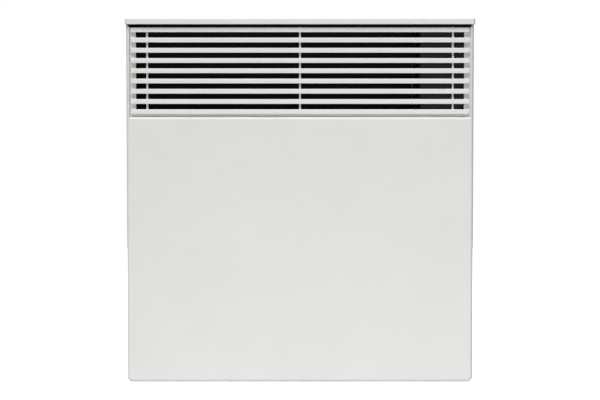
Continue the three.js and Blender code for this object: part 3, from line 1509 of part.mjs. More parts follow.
function addElectrics(group) {
  place(group, "terminal_block", terminalBlock(), "control");
  place(group, "cable_gland", cableGland(), "moulded");
  place(group, "thermal_cutout", thermalCutout(), "moulded");
  place(group, "sensor_bulb", sensorBulb(), "copper");
  place(group, "sensor_clip", sensorClip(), "zinc");
  const colours = { lead_element_to_terminal: "leadBlue", sensor_capillary: "copper" };
  for (const [name, body] of Object.entries(leads())) {
    place(group, name, body, colours[name] ?? "leadBrown");
  }
}

function addBracket(group) {
  place(group, "wall_bracket", wallBracket(), "zinc");
  const sides = { left: -LEG_X, right: LEG_X };
  for (const [side, x] of Object.entries(sides)) {
    placeTurning(group, `latch_${side}`, latch(x), "moulded", [x, 0, LATCH_Z]);
    place(group, `latch_pin_${side}`, latchPin(x), "steel");
  }
}

// The heater is drawn up from its bottom edge, and hangs from the middle of the bracket's top rail.
const heater = new THREE.Group();
heater.position.z = -RAIL_HEIGHT;
addShell(heater);
addGrille(heater);
addChannel(heater);
addControls(heater);
addElectrics(heater);
addBracket(heater);

const part = new THREE.Group();
part.add(heater);

export default part;
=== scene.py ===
# %% [markdown]
# # A wall panel convector heater
#
# The heater is a flat steel box that hangs on a wall. Air comes in through slots in its bottom, a
# finned element warms it, and it leaves through the louvred grille at the top of the front. The
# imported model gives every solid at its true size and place. This lesson dresses that model: it
# makes the visible sheet metal as smooth surfaces with numpy, rounds the cut edges of the rest,
# and gives each finish its own procedural material.

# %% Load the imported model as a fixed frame
import json
import math

import bmesh
import bpy
import numpy as np
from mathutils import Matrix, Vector
from mathutils.geometry import tessellate_polygon

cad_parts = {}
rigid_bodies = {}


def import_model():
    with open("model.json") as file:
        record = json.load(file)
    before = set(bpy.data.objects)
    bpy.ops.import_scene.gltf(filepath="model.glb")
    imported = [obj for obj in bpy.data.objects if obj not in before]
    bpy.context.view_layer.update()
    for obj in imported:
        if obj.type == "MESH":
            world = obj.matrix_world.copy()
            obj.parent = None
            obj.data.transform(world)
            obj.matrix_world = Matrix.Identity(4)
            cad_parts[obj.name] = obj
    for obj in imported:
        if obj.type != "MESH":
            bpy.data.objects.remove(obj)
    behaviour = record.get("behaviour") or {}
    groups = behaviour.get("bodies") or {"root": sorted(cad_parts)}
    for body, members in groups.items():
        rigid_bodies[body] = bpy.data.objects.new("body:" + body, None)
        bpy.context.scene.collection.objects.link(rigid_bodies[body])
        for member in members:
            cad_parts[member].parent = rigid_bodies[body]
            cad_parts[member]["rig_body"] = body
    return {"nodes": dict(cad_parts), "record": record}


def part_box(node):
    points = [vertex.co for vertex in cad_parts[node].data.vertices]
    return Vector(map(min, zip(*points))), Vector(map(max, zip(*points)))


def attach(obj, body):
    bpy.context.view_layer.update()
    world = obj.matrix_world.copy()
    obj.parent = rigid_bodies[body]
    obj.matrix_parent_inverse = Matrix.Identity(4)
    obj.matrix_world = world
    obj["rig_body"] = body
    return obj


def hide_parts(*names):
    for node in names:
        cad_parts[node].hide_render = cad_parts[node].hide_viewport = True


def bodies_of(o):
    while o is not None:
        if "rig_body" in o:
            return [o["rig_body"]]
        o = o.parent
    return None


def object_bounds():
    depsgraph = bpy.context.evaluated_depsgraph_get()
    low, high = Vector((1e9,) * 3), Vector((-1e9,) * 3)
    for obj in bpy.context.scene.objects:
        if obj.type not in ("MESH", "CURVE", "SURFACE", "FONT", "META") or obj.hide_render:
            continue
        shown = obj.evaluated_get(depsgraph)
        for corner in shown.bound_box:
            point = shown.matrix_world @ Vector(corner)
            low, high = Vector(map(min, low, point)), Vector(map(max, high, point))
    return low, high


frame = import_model()
cad_low, cad_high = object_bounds()
MM = 0.001
print("CAD box in mm:", [round(v / MM, 1) for v in (*cad_low, *cad_high)])


# %% Read places off the frame
def box_mm(node):
    """The two far corners of a node's solid, in mm."""
    low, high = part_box(node)
    return np.array(low) / MM, np.array(high) / MM


def body_of(node):
    """The name of the body that a node rides on."""
    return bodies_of(frame["nodes"][node])[0]


SLOT_OF = {row["node"]: row["material_slot"] for row in frame["record"]["subparts"]}
print("solids:", len(frame["nodes"]), "with finishes for", len(set(SLOT_OF.values())), "slots")

# %% [markdown]
# ## The camera
#
# The heater is seen square from the front, from a little above its middle, so that its sides lean
# together slightly towards the bottom. A camera could be turned by angles, but it is easier to say
# where it stands and what it looks at, and to let a quaternion point it there.

# %% Place the camera
IMAGE_WIDTH = 600
CAMERA_DISTANCE = 2.0
CAMERA_RISE = 0.096
AIM_RISE = 1.45 * MM  # the heater sits a little low in the picture
FOCAL_LENGTH = 99.2

middle = (cad_low + cad_high) / 2
camera_aim = Vector((middle.x, cad_low.y, middle.z + AIM_RISE))
camera_data = bpy.data.cameras.new("studio_camera")
camera_data.lens = FOCAL_LENGTH
camera = bpy.data.objects.new("studio_camera", camera_data)
camera.location = camera_aim + Vector((0, -CAMERA_DISTANCE, CAMERA_RISE))
camera.rotation_mode = "QUATERNION"
camera.rotation_quaternion = (camera_aim - camera.location).to_track_quat("-Z", "Y")
bpy.context.scene.collection.objects.link(camera)
bpy.context.scene.camera = camera
scale = camera_data.lens / camera_data.sensor_width * IMAGE_WIDTH / CAMERA_DISTANCE * MM
print("pixels per mm at the front:", round(scale, 4))

# %% [markdown]
# ## Node groups that the finishes share
#
# Paint, zinc and mouldings all need a fine relief and a slow drift of tone. Writing the same noise
# into every material would work, but one group with named inputs keeps each effect in one place,
# and each material only sets how large and how deep it is. All patterns read Object coordinates,
# which are metres here, so a size in millimetres means the same on every piece.


# %% Helpers for node trees
def shader_group(name, inputs, outputs):
    """An empty node group with float inputs, and outputs of the given socket types."""
    group = bpy.data.node_groups.new(name, "ShaderNodeTree")
    for label, value in inputs.items():
        socket = group.interface.new_socket(label, in_out="INPUT", socket_type="NodeSocketFloat")
        socket.default_value = value
    for label, kind in outputs.items():
        group.interface.new_socket(label, in_out="OUTPUT", socket_type=kind)
    return group, group.nodes.new("NodeGroupInput"), group.nodes.new("NodeGroupOutput")


def add_node(tree, kind, **values):
    """A node of that kind, with its settings or input sockets set by name."""
    node = tree.nodes.new(kind)
    for label, value in values.items():
        if hasattr(node, label):
            setattr(node, label, value)
        else:
            node.inputs[label.replace("_", " ")].default_value = value
    return node


def join(tree, *pairs):
    """Links each output to its input."""
    for start, end in pairs:
        tree.links.new(start, end)


def math_node(tree, operation, first, second=0.0):
    """Arithmetic on sockets or numbers; the second value is only read where it is needed."""
    node = tree.nodes.new("ShaderNodeMath")
    node.operation = operation
    for socket, value in zip(node.inputs, (first, second)):
        if isinstance(value, (int, float)):
            socket.default_value = value
        else:
            tree.links.new(value, socket)
    return node.outputs[0]


METRE = 1000.0  # in mm
GROUPS = {}


def keep_group(group):
    """Puts a finished effect where the materials find it."""
    GROUPS[group.name] = group
    print("effect:", group.name, "of", len(group.nodes), "nodes")


# %% [markdown]
# ### Fine relief
#
# Powder coat has a faint orange peel, and mouldings have a grain from their mould. Both could be
# displaced geometry, but they are hundredths of a millimetre deep, so a bump is enough.


# %% Fine relief
def fine_relief():
    """Noise of a size in mm, turned into a bump of a depth in mm."""
    group, inside, outside = shader_group(
        "fine_relief",
        {"Size": 1.0, "Depth": 0.01, "Detail": 2.0},
        {"Normal": "NodeSocketVector", "Height": "NodeSocketFloat"},
    )
    place = group.nodes.new("ShaderNodeTexCoord")
    noise = group.nodes.new("ShaderNodeTexNoise")
    bump = group.nodes.new("ShaderNodeBump")
    scale = math_node(group, "DIVIDE", METRE, inside.outputs["Size"])
    depth = math_node(group, "DIVIDE", inside.outputs["Depth"], METRE)
    join(
        group,
        (place.outputs["Object"], noise.inputs["Vector"]),
        (scale, noise.inputs["Scale"]),
        (inside.outputs["Detail"], noise.inputs["Detail"]),
        (noise.outputs["Fac"], bump.inputs["Height"]),
        (depth, bump.inputs["Distance"]),
        (bump.outputs["Normal"], outside.inputs["Normal"]),
        (noise.outputs["Fac"], outside.inputs["Height"]),
    )
    return group


keep_group(fine_relief())

# %% [markdown]
# ### Slow drift of tone
#
# No sprayed or moulded surface has one tone all over. A wide, smooth noise moves the colour by a few
# levels, which is less than the eye reads as dirt but enough that the face doesn't look computed.


# %% Slow drift of tone
def tone_drift():
    """A smooth mask that wanders between 0 and 1 over a size in mm."""
    group, inside, outside = shader_group(
        "tone_drift", {"Size": 60.0}, {"Mask": "NodeSocketFloat"}
    )
    place = group.nodes.new("ShaderNodeTexCoord")
    noise = add_node(group, "ShaderNodeTexNoise", Detail=3.0, Roughness=0.6)
    spread = add_node(group, "ShaderNodeMapRange", interpolation_type="SMOOTHSTEP")
    spread.inputs["From Min"].default_value = 0.3
    spread.inputs["From Max"].default_value = 0.7
    join(
        group,
        (place.outputs["Object"], noise.inputs["Vector"]),
        (math_node(group, "DIVIDE", METRE, inside.outputs["Size"]), noise.inputs["Scale"]),
        (noise.outputs["Fac"], spread.inputs["Value"]),
        (spread.outputs["Result"], outside.inputs["Mask"]),
    )
    return group


keep_group(tone_drift())

# %% [markdown]
# ### Crystals of a zinc coating
#
# Zinc freezes on hot-dipped sheet in flat crystals that each mirror the light a little differently.
# Voronoi cells give that pattern, and a noise that bends their borders takes their stiffness away.


# %% Crystals of a zinc coating
def zinc_crystals():
    """Cells of a size in mm, each with a random tone, as zinc freezes on a steel sheet."""
    group, inside, outside = shader_group(
        "zinc_crystals", {"Size": 4.0, "Bend": 1.5}, {"Mask": "NodeSocketFloat"}
    )
    place = group.nodes.new("ShaderNodeTexCoord")
    wobble = add_node(group, "ShaderNodeTexNoise", Scale=600.0, Detail=2.0)
    shifted = add_node(group, "ShaderNodeVectorMath", operation="MULTIPLY_ADD")
    cells = group.nodes.new("ShaderNodeTexVoronoi")
    shade = add_node(group, "ShaderNodeSeparateColor")
    bend = math_node(group, "DIVIDE", inside.outputs["Bend"], METRE)
    join(
        group,
        (place.outputs["Object"], wobble.inputs["Vector"]),
        (wobble.outputs["Color"], shifted.inputs[0]),
        (bend, shifted.inputs[1]),
        (place.outputs["Object"], shifted.inputs[2]),
        (shifted.outputs["Vector"], cells.inputs["Vector"]),
        (math_node(group, "DIVIDE", METRE, inside.outputs["Size"]), cells.inputs["Scale"]),
        (cells.outputs["Color"], shade.inputs["Color"]),
        (shade.outputs["Red"], outside.inputs["Mask"]),
    )
    return group


keep_group(zinc_crystals())

# %% [markdown]
# ### Drawn lines
#
# An extrusion or a drawn tube keeps fine lines along its length from the die. One noise that is
# stretched along X is enough, because the fins and the rod both lie that way.


# %% Drawn lines of an extrusion
def drawn_lines():
    """Streaks along X, from noise that is stretched many times in that direction."""
    group, inside, outside = shader_group(
        "drawn_lines",
        {"Size": 0.4, "Stretch": 60.0, "Depth": 0.004},
        {"Normal": "NodeSocketVector", "Mask": "NodeSocketFloat"},
    )
    place = group.nodes.new("ShaderNodeTexCoord")
    parts = group.nodes.new("ShaderNodeSeparateXYZ")
    whole = group.nodes.new("ShaderNodeCombineXYZ")
    noise = add_node(group, "ShaderNodeTexNoise", Detail=2.0)
    bump = group.nodes.new("ShaderNodeBump")
    slow_x = math_node(group, "DIVIDE", parts.outputs["X"], inside.outputs["Stretch"])
    join(
        group,
        (place.outputs["Object"], parts.inputs[0]),
        (slow_x, whole.inputs["X"]),
        (parts.outputs["Y"], whole.inputs["Y"]),
        (parts.outputs["Z"], whole.inputs["Z"]),
        (whole.outputs[0], noise.inputs["Vector"]),
        (math_node(group, "DIVIDE", METRE, inside.outputs["Size"]), noise.inputs["Scale"]),
        (noise.outputs["Fac"], bump.inputs["Height"]),
        (math_node(group, "DIVIDE", inside.outputs["Depth"], METRE), bump.inputs["Distance"]),
        (bump.outputs["Normal"], outside.inputs["Normal"]),
        (noise.outputs["Fac"], outside.inputs["Mask"]),
    )
    return group


keep_group(drawn_lines())

# %% [markdown]
# ### Rubbed edges
#
# Where sheet is handled, its edges lose their coat first. A Bevel node rounds the normal near an
# edge, so how far it leaves the true normal tells how near the edge is, and a noise breaks it up.


# %% Rubbed edges
def rubbed_edges():
    """A mask near sharp edges: where a rounded normal leaves the true one within a radius in mm."""
    group, inside, outside = shader_group(
        "rubbed_edges", {"Radius": 0.5, "Grain": 1.5}, {"Mask": "NodeSocketFloat"}
    )
    place = group.nodes.new("ShaderNodeTexCoord")
    rounded = add_node(group, "ShaderNodeBevel", samples=4)
    true = group.nodes.new("ShaderNodeNewGeometry")
    same = add_node(group, "ShaderNodeVectorMath", operation="DOT_PRODUCT")
    noise = add_node(group, "ShaderNodeTexNoise", Detail=3.0)
    span = add_node(group, "ShaderNodeMapRange", interpolation_type="SMOOTHSTEP")
    span.inputs["From Min"].default_value = 0.02
    span.inputs["From Max"].default_value = 0.2
    patches = math_node(group, "MULTIPLY", span.outputs["Result"], noise.outputs["Fac"])
    join(
        group,
        (math_node(group, "DIVIDE", inside.outputs["Radius"], METRE), rounded.inputs["Radius"]),
        (rounded.outputs["Normal"], same.inputs[0]),
        (true.outputs["True Normal"], same.inputs[1]),
        (math_node(group, "SUBTRACT", 1.0, same.outputs["Value"]), span.inputs["Value"]),
        (place.outputs["Object"], noise.inputs["Vector"]),
        (math_node(group, "DIVIDE", METRE, inside.outputs["Grain"]), noise.inputs["Scale"]),
        (patches, outside.inputs["Mask"]),
    )
    return group


keep_group(rubbed_edges())

# %% [markdown]
# ### Marks of the dial
#
# The marks round the knob are printed on the tray. They could be thin solids, but print has no
# thickness, so they are a mask instead: seven short bars at equal steps of the knob's turn.

# %% Dial marks
DIAL_MARKS = 7
DIAL_TURN = math.radians(300)
DIAL_RADIUS = 14.2
MARK_LENGTH = 2.2
MARK_SHARE = 0.03  # half a mark's width, as a share of one step
MARK_REACH = 0.4  # how far from the tray's floor the print still counts


def dial_marks():
    """Marks round an axis at a place in mm: short radial bars at equal steps of its turn.

    The angle runs clockwise from the front. It is divided by one step, and a bar is where the
    result is close to a whole number, in a narrow ring just outside the knob.
    """
    group, inside, outside = shader_group(
        "dial_marks",
        {"X": 0.0, "Y": 0.0, "Z": 0.0, "Radius": DIAL_RADIUS},
        {"Mask": "NodeSocketFloat"},
    )

    def calculate(*values):
        return math_node(group, *values)

    place = group.nodes.new("ShaderNodeTexCoord")
    parts = group.nodes.new("ShaderNodeSeparateXYZ")
    join(group, (place.outputs["Object"], parts.inputs[0]))
    x, y, z = (
        calculate("SUBTRACT", calculate("MULTIPLY", parts.outputs[axis], METRE), inside.outputs[axis])
        for axis in ("X", "Y", "Z")
    )
    squares = calculate("ADD", calculate("MULTIPLY", x, x), calculate("MULTIPLY", y, y))
    ring = calculate("SUBTRACT", calculate("SQRT", squares), inside.outputs["Radius"])
    step = DIAL_TURN / (DIAL_MARKS - 1)
    ahead = calculate("ADD", calculate("ARCTAN2", x, y), math.pi + step / 4)
    turn = calculate("SUBTRACT", calculate("FLOORED_MODULO", ahead, 2 * math.pi), step / 4)
    count = calculate("DIVIDE", turn, step)
    off = calculate("ABSOLUTE", calculate("SUBTRACT", count, calculate("ROUND", count)))
    tests = [
        calculate("LESS_THAN", off, MARK_SHARE),
        calculate("LESS_THAN", count, DIAL_MARKS - 0.5),
        calculate("GREATER_THAN", ring, 0.0),
        calculate("LESS_THAN", ring, MARK_LENGTH),
        calculate("LESS_THAN", calculate("ABSOLUTE", z), MARK_REACH),
    ]
    mask = tests[0]
    for test in tests[1:]:
        mask = calculate("MULTIPLY", mask, test)
    join(group, (mask, outside.inputs["Mask"]))
    return group


keep_group(dial_marks())

# %% [markdown]
# ## Finishes
#
# Each finish is one Principled shader. What is the same all over the surface, such as how
# metallic it is, is set on the shader itself; what varies comes from the groups. The colours are
# given as they look on a screen and are turned to the linear values that the shader works in.


# %% Helpers for materials
def linear(*levels):
    """Screen levels of 0 to 255 as linear light: the power curve of the screen, undone."""
    values = np.array(levels) / 255.0
    curved = np.where(values > 0.04045, ((values + 0.055) / 1.055) ** 2.4, values / 12.92)
    return (*curved.tolist(), 1.0)


def new_finish(name, metallic=0.0, **sockets):
    """A material with its Principled shader, whose fixed values are set by socket name."""
    material = bpy.data.materials.new(name)
    material.use_nodes = True
    tree = material.node_tree
    shader = tree.nodes["Principled BSDF"]
    shader.inputs["Metallic"].default_value = metallic
    for label, value in sockets.items():
        shader.inputs[label.replace("_", " ")].default_value = value
    return material, tree, shader


def use_group(tree, name, **values):
    """Places a shared effect in a material, with its own values."""
    node = tree.nodes.new("ShaderNodeGroup")
    node.node_tree = GROUPS[name]
    for label, value in values.items():
        node.inputs[label].default_value = value
    return node


def mix_colours(tree, mask, low, high):
    """A colour that goes from low to high as the mask goes from 0 to 1."""
    node = tree.nodes.new("ShaderNodeMix")
    node.data_type = "RGBA"
    tree.links.new(mask, node.inputs["Factor"])
    for socket, value in ((node.inputs["A"], low), (node.inputs["B"], high)):
        if isinstance(value, tuple):
            socket.default_value = value
        else:
            tree.links.new(value, socket)
    return node.outputs["Result"]


def map_mask(tree, mask, low, high):
    """A number that goes from low to high as the mask goes from 0 to 1."""
    node = tree.nodes.new("ShaderNodeMapRange")
    tree.links.new(mask, node.inputs["Value"])
    node.inputs["To Min"].default_value = low
    node.inputs["To Max"].default_value = high
    return node.outputs["Result"]


FINISHES = {}


def keep_finish(slot, material):
    """Puts a finished material under the name of the slot that it is for."""
    FINISHES[slot] = material
    print("finish:", slot, "of", len(material.node_tree.nodes), "nodes")


# %% [markdown]
# ### White powder coat
#
# The shell, the cover and the grille are steel that is sprayed with powder and baked. The colour is
# a warm white that stays below the white of the page, and the gloss is low, so that the lamps draw
# soft tones over the bends instead of hard highlights.


# %% White powder coat
def powder_coat():
    """Baked white powder: a faint orange peel, and a tone that drifts by a few levels."""
    material, tree, shader = new_finish("white_powder_coat", Specular_IOR_Level=0.3)
    peel = use_group(tree, "fine_relief", Size=1.6, Depth=0.012, Detail=2.0)
    drift = use_group(tree, "tone_drift", Size=90.0)
    colour = mix_colours(tree, drift.outputs["Mask"], linear(229, 230, 227), linear(232, 232, 230))
    join(
        tree,
        (colour, shader.inputs["Base Color"]),
        (map_mask(tree, drift.outputs["Mask"], 0.42, 0.5), shader.inputs["Roughness"]),
        (peel.outputs["Normal"], shader.inputs["Normal"]),
    )
    return material


keep_finish("white_powder_coat", powder_coat())

# %% [markdown]
# ### Zinc-coated and black sheet
#
# The back and the bracket are bare zinc-coated sheet, which is left unpainted because nobody sees
# it. The sheet behind the grille is a matt black that is painted shade: it stands in for the deep
# shade inside the heater, so that the gaps look deep.


# %% Sheet metals
def zinc_sheet():
    """Zinc-coated steel: crystals that differ in tone and gloss, and dull rubbed edges."""
    material, tree, shader = new_finish("zinc_coated_sheet", metallic=0.85)
    crystals = use_group(tree, "zinc_crystals", Size=5.0, Bend=2.0)
    drift = use_group(tree, "tone_drift", Size=120.0)
    relief = use_group(tree, "fine_relief", Size=0.8, Depth=0.004, Detail=3.0)
    edges = use_group(tree, "rubbed_edges", Radius=0.5, Grain=2.0)
    base = mix_colours(tree, crystals.outputs["Mask"], linear(164, 168, 171), linear(186, 190, 193))
    aged = mix_colours(tree, drift.outputs["Mask"], base, linear(170, 172, 172))
    worn = mix_colours(tree, edges.outputs["Mask"], aged, linear(206, 207, 206))
    join(
        tree,
        (worn, shader.inputs["Base Color"]),
        (map_mask(tree, crystals.outputs["Mask"], 0.38, 0.52), shader.inputs["Roughness"]),
        (relief.outputs["Normal"], shader.inputs["Normal"]),
    )
    return material


def black_sheet():
    """Matt black that is painted shade for the dark inside of the heater: a little patchy, greyer
    where it is rubbed at its edges.
    """
    material, tree, shader = new_finish("painted_shade_black_sheet", Specular_IOR_Level=0.15)
    relief = use_group(tree, "fine_relief", Size=0.5, Depth=0.02, Detail=3.0)
    drift = use_group(tree, "tone_drift", Size=45.0)
    edges = use_group(tree, "rubbed_edges", Radius=0.4, Grain=2.0)
    # painted shade: a near-black base that stands in for the shade behind the grille
    base = mix_colours(tree, drift.outputs["Mask"], linear(17, 17, 15), linear(25, 25, 23))
    worn = mix_colours(tree, edges.outputs["Mask"], base, linear(58, 58, 57))
    join(
        tree,
        (worn, shader.inputs["Base Color"]),
        (map_mask(tree, drift.outputs["Mask"], 0.7, 0.82), shader.inputs["Roughness"]),
        (relief.outputs["Normal"], shader.inputs["Normal"]),
    )
    return material


keep_finish("zinc_sheet", zinc_sheet())
keep_finish("black_sheet", black_sheet())

# %% [markdown]
# ### Bare metal
#
# The fins are extruded aluminium, the rod, the pins and the screws are bright steel, and the sensor
# with its tube is copper. They differ only in colour and gloss, so one function makes all three.


# %% Drawn metals
def drawn_metal(name, low, high, roughness, **lines):
    """Bare metal with drawn lines along X, such as an extrusion, a tube or a drawn sheath."""
    material, tree, shader = new_finish(name, metallic=1.0)
    streaks = use_group(tree, "drawn_lines", **lines)
    colour = mix_colours(tree, streaks.outputs["Mask"], low, high)
    join(
        tree,
        (colour, shader.inputs["Base Color"]),
        (map_mask(tree, streaks.outputs["Mask"], *roughness), shader.inputs["Roughness"]),
        (streaks.outputs["Normal"], shader.inputs["Normal"]),
    )
    return material


keep_finish(
    "element_aluminium",
    drawn_metal("extruded_aluminium", linear(188, 190, 192), linear(214, 216, 218), (0.3, 0.42)),
)
keep_finish(
    "bright_steel",
    drawn_metal("bright_steel", linear(168, 170, 172), linear(196, 198, 199), (0.24, 0.36), Size=0.25),
)
keep_finish(
    "copper",
    drawn_metal("drawn_copper", linear(176, 104, 66), linear(204, 128, 88), (0.28, 0.4)),
)

# %% [markdown]
# ### Mouldings, ceramic and leads
#
# Everything that is cast in a mould or fired has a fine skin and nearly one colour. The white one
# also carries the print of the dial, whose place is read off the knob, just above the tray's floor.

# %% Mouldings, ceramic and leads
KNOB_GAP = 0.3
PRINT_GREY = linear(70, 72, 74)


def moulding(name, low, high, roughness, grain, depth, printed=None, **fixed):
    """A moulded or fired piece: a fine texture, two close tones of one colour, and any print."""
    material, tree, shader = new_finish(name, **fixed)
    relief = use_group(tree, "fine_relief", Size=grain, Depth=depth, Detail=4.0)
    drift = use_group(tree, "tone_drift", Size=12.0)
    colour = mix_colours(tree, drift.outputs["Mask"], low, high)
    if printed:
        marks = use_group(tree, "dial_marks", **printed)
        colour = mix_colours(tree, marks.outputs["Mask"], colour, PRINT_GREY)
    join(
        tree,
        (colour, shader.inputs["Base Color"]),
        (map_mask(tree, relief.outputs["Height"], *roughness), shader.inputs["Roughness"]),
        (relief.outputs["Normal"], shader.inputs["Normal"]),
    )
    return material


knob_low, knob_high = box_mm("thermostat_knob")
knob_axis = (knob_low + knob_high) / 2
DIAL_PLACE = {"X": knob_axis[0], "Y": knob_axis[1], "Z": knob_low[2] - KNOB_GAP}

MOULDED = {
    "black_moulding": moulding(
        "black_moulding", linear(13, 14, 14), linear(18, 19, 19), (0.5, 0.62), 0.5, 0.015,
        Specular_IOR_Level=0.2,
    ),
    "white_moulding": moulding(
        "white_moulding", linear(224, 225, 222), linear(229, 229, 227), (0.4, 0.5), 0.45, 0.008,
        printed=DIAL_PLACE,
    ),
    "ceramic_bush": moulding(
        "glazed_ceramic", linear(232, 226, 212), linear(240, 236, 226), (0.25, 0.4), 1.2, 0.02
    ),
    "amber_lens": moulding(
        "amber_lens", linear(196, 66, 26), linear(222, 88, 34), (0.12, 0.2), 0.8, 0.004,
        Coat_Weight=0.6,
    ),
    "lead_brown": moulding(
        "brown_lead", linear(84, 48, 30), linear(98, 58, 38), (0.42, 0.55), 0.6, 0.01
    ),
    "lead_blue": moulding(
        "blue_lead", linear(38, 74, 134), linear(48, 86, 150), (0.42, 0.55), 0.6, 0.01
    ),
}
for slot, material in MOULDED.items():
    keep_finish(slot, material)

# %% [markdown]
# ## Rounding the cut edges of the model's own solids
#
# Most inner pieces already have the right shape, but every edge is perfectly sharp, and a sharp
# edge never catches the light as a real one does. Each such solid is copied, its loose triangles
# are merged and its flat faces are joined again, and a Bevel modifier rounds what is left. The
# copy stands for the solid, so nothing of the frame is changed.


# %% Dress one solid
SHARP_ANGLE = math.radians(30)
FLAT_ANGLE = math.radians(0.4)
MERGE_DISTANCE = 0.005 * MM
EDGE_STEPS = 2
SOLID_EDGE = 0.25
settled = set()


def settle(piece, *nodes):
    """Gives a piece the body, slot and finish of the nodes that it stands for."""
    slot = SLOT_OF[nodes[0]]
    piece.data.materials.clear()
    piece.data.materials.append(FINISHES[slot])
    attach(piece, body_of(nodes[0]))
    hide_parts(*nodes)
    settled.update(nodes)
    return piece


def round_edges(piece, width):
    """Rounds every edge that is sharper than the sharp angle, over a width in mm."""
    bevel = piece.modifiers.new("rounded_edges", "BEVEL")
    bevel.width = width * MM
    bevel.segments = EDGE_STEPS
    bevel.limit_method = "ANGLE"
    bevel.angle_limit = SHARP_ANGLE
    bevel.use_clamp_overlap = True
    bevel.harden_normals = True
    return piece


def new_piece(name, mesh):
    """An object at the origin, linked to the scene."""
    piece = bpy.data.objects.new(name, mesh)
    bpy.context.scene.collection.objects.link(piece)
    return piece


def dress(node):
    """A copy of a node's solid with merged faces and rounded edges, standing for the node."""
    mesh = frame["nodes"][node].data.copy()
    work = bmesh.new()
    work.from_mesh(mesh)
    bmesh.ops.remove_doubles(work, verts=work.verts, dist=MERGE_DISTANCE)
    bmesh.ops.dissolve_limit(work, angle_limit=FLAT_ANGLE, verts=work.verts, edges=work.edges)
    for face in work.faces:
        face.smooth = True
    work.to_mesh(mesh)
    work.free()
    mesh.set_sharp_from_angle(angle=SHARP_ANGLE)
    piece = new_piece(f"{node}_finished", mesh)
    return settle(round_edges(piece, SOLID_EDGE), node)


# %% [markdown]
# ## Sheet metal from surfaces
#
# The outside of the heater is folded sheet. A sheet could be cut and bent from a block with
# modifiers, but it is truer to work out its outer surface once, as a grid of points, and then to
# give it its thickness inwards with Solidify. A narrow Bevel rounds the cut edges. All places below
# are read off the frame's own solids or given in millimetres.


# %% Helpers for surfaces
CUT_EDGE = 0.12


def arc(centre, radius, start, end, steps=8):
    """Points of an arc: the centre plus the radius times cosine and sine of each angle."""
    angles = np.radians(np.linspace(start, end, steps + 1))
    return np.array(centre) + radius * np.stack([np.cos(angles), np.sin(angles)], axis=1)


def grid_quads(rows, columns, closed=False):
    """Quads of a grid, counted row by row; a closed grid joins its last column to its first."""
    first = np.arange(rows - 1)[:, None] * columns
    across = np.arange(columns if closed else columns - 1)[None, :]
    here = first + across
    beside = first + (across + 1) % columns
    return np.stack([here, beside, beside + columns, here + columns], axis=-1).reshape(-1, 4)


def straight_fold(line, low_x, high_x):
    """A profile of depth and height that is carried straight along X, with its quads."""
    x = np.broadcast_to([low_x, high_x], (len(line), 2))
    y, z = (np.repeat(line[:, i, None], 2, axis=1) for i in (0, 1))
    return np.stack([x, y, z], axis=-1), grid_quads(len(line), 2)


def surface(name, parts):
    """One mesh from several point arrays in mm with their faces, welded and turned outwards."""
    points, faces, start = [], [], 0
    for part_points, part_faces in parts:
        flat = np.asarray(part_points, dtype=float).reshape(-1, 3)
        points.append(flat)
        faces.extend([[start + index for index in face] for face in np.asarray(part_faces).tolist()])
        start += len(flat)
    mesh = bpy.data.meshes.new(name)
    mesh.from_pydata(np.concatenate(points) * MM, [], faces)
    work = bmesh.new()
    work.from_mesh(mesh)
    bmesh.ops.remove_doubles(work, verts=work.verts, dist=MERGE_DISTANCE)
    bmesh.ops.recalc_face_normals(work, faces=work.faces)
    for face in work.faces:
        face.smooth = True
    work.to_mesh(mesh)
    work.free()
    mesh.set_sharp_from_angle(angle=SHARP_ANGLE)
    return new_piece(name, mesh)


def facing(piece, direction, near):
    """Flips the whole surface if the face nearest to a point looks away from a direction."""
    mesh = piece.data
    centres = np.empty(len(mesh.polygons) * 3)
    mesh.polygons.foreach_get("center", centres)
    gaps = np.linalg.norm(centres.reshape(-1, 3) - np.array(near) * MM, axis=1)
    if mesh.polygons[int(gaps.argmin())].normal.dot(Vector(direction)) < 0:
        mesh.flip_normals()
    return piece


def thicken(piece, sheet):
    """Gives a surface the thickness of its sheet inwards, and softens the cut edges."""
    solidify = piece.modifiers.new("sheet_thickness", "SOLIDIFY")
    solidify.thickness = sheet * MM
    solidify.offset = -1.0
    solidify.use_even_offset = True
    return round_edges(piece, CUT_EDGE)


# %% [markdown]
# ## The front shell
#
# The shell is one sheet: the face, two side walls with return flanges at the back, and a short
# bottom flange. Its outline from the front has straight sides and cut-back lower corners. The edge
# of the sheet, from the flange round the bend to the face, is a profile of inset and depth, and
# carrying that profile along the outline makes sides, corners and bottom in one grid. Behind the
# bend the corners are relieved, as a folded sheet needs, so those quads are left out.

# %% Sizes of the shell
SHELL_SHEET = 1.2
SHELL_BEND = 3.6
CORNER_CUT = 4.2
SIDE_LIP = 3.7
FLANGE = 14.2
FLANGE_BEND = 1.5
FLANGE_STEPS = 4
BOTTOM_FLANGE = 14.0
TOP_FOLD = 2.0
FOLD_DROP = 4.0  # from the last slat down to the fold
FOLD_GAP = 0.3
HEM = 7.3
(left, front, bottom), (right, back, top) = box_mm("front_panel")
slat_top = box_mm("louvre_slat_1")[1][2]
fold_top = box_mm("louvre_slat_9")[0][2] - FOLD_DROP
fold_start = fold_top - 3 * TOP_FOLD
hem_foot = box_mm("top_cover")[1][2] - HEM
frame_front = box_mm("grille_frame")[0][1]
print("shell in mm:", round(right - left, 1), "wide and", round(top - bottom, 1), "high")


# %% Profile and outline of the shell
def shell_profile():
    """Inset and depth across the sheet: flange, rear bend, side wall, front bend and lip."""
    bend = arc((SHELL_BEND, front + SHELL_BEND), SHELL_BEND, 180, 270)
    rear = arc((FLANGE_BEND, back - FLANGE_BEND), FLANGE_BEND, 90, 180, FLANGE_STEPS)
    wall = [(0.0, front + BOTTOM_FLANGE)]
    return np.concatenate([[(FLANGE, back)], rear, wall, bend, [(SIDE_LIP, front)]])


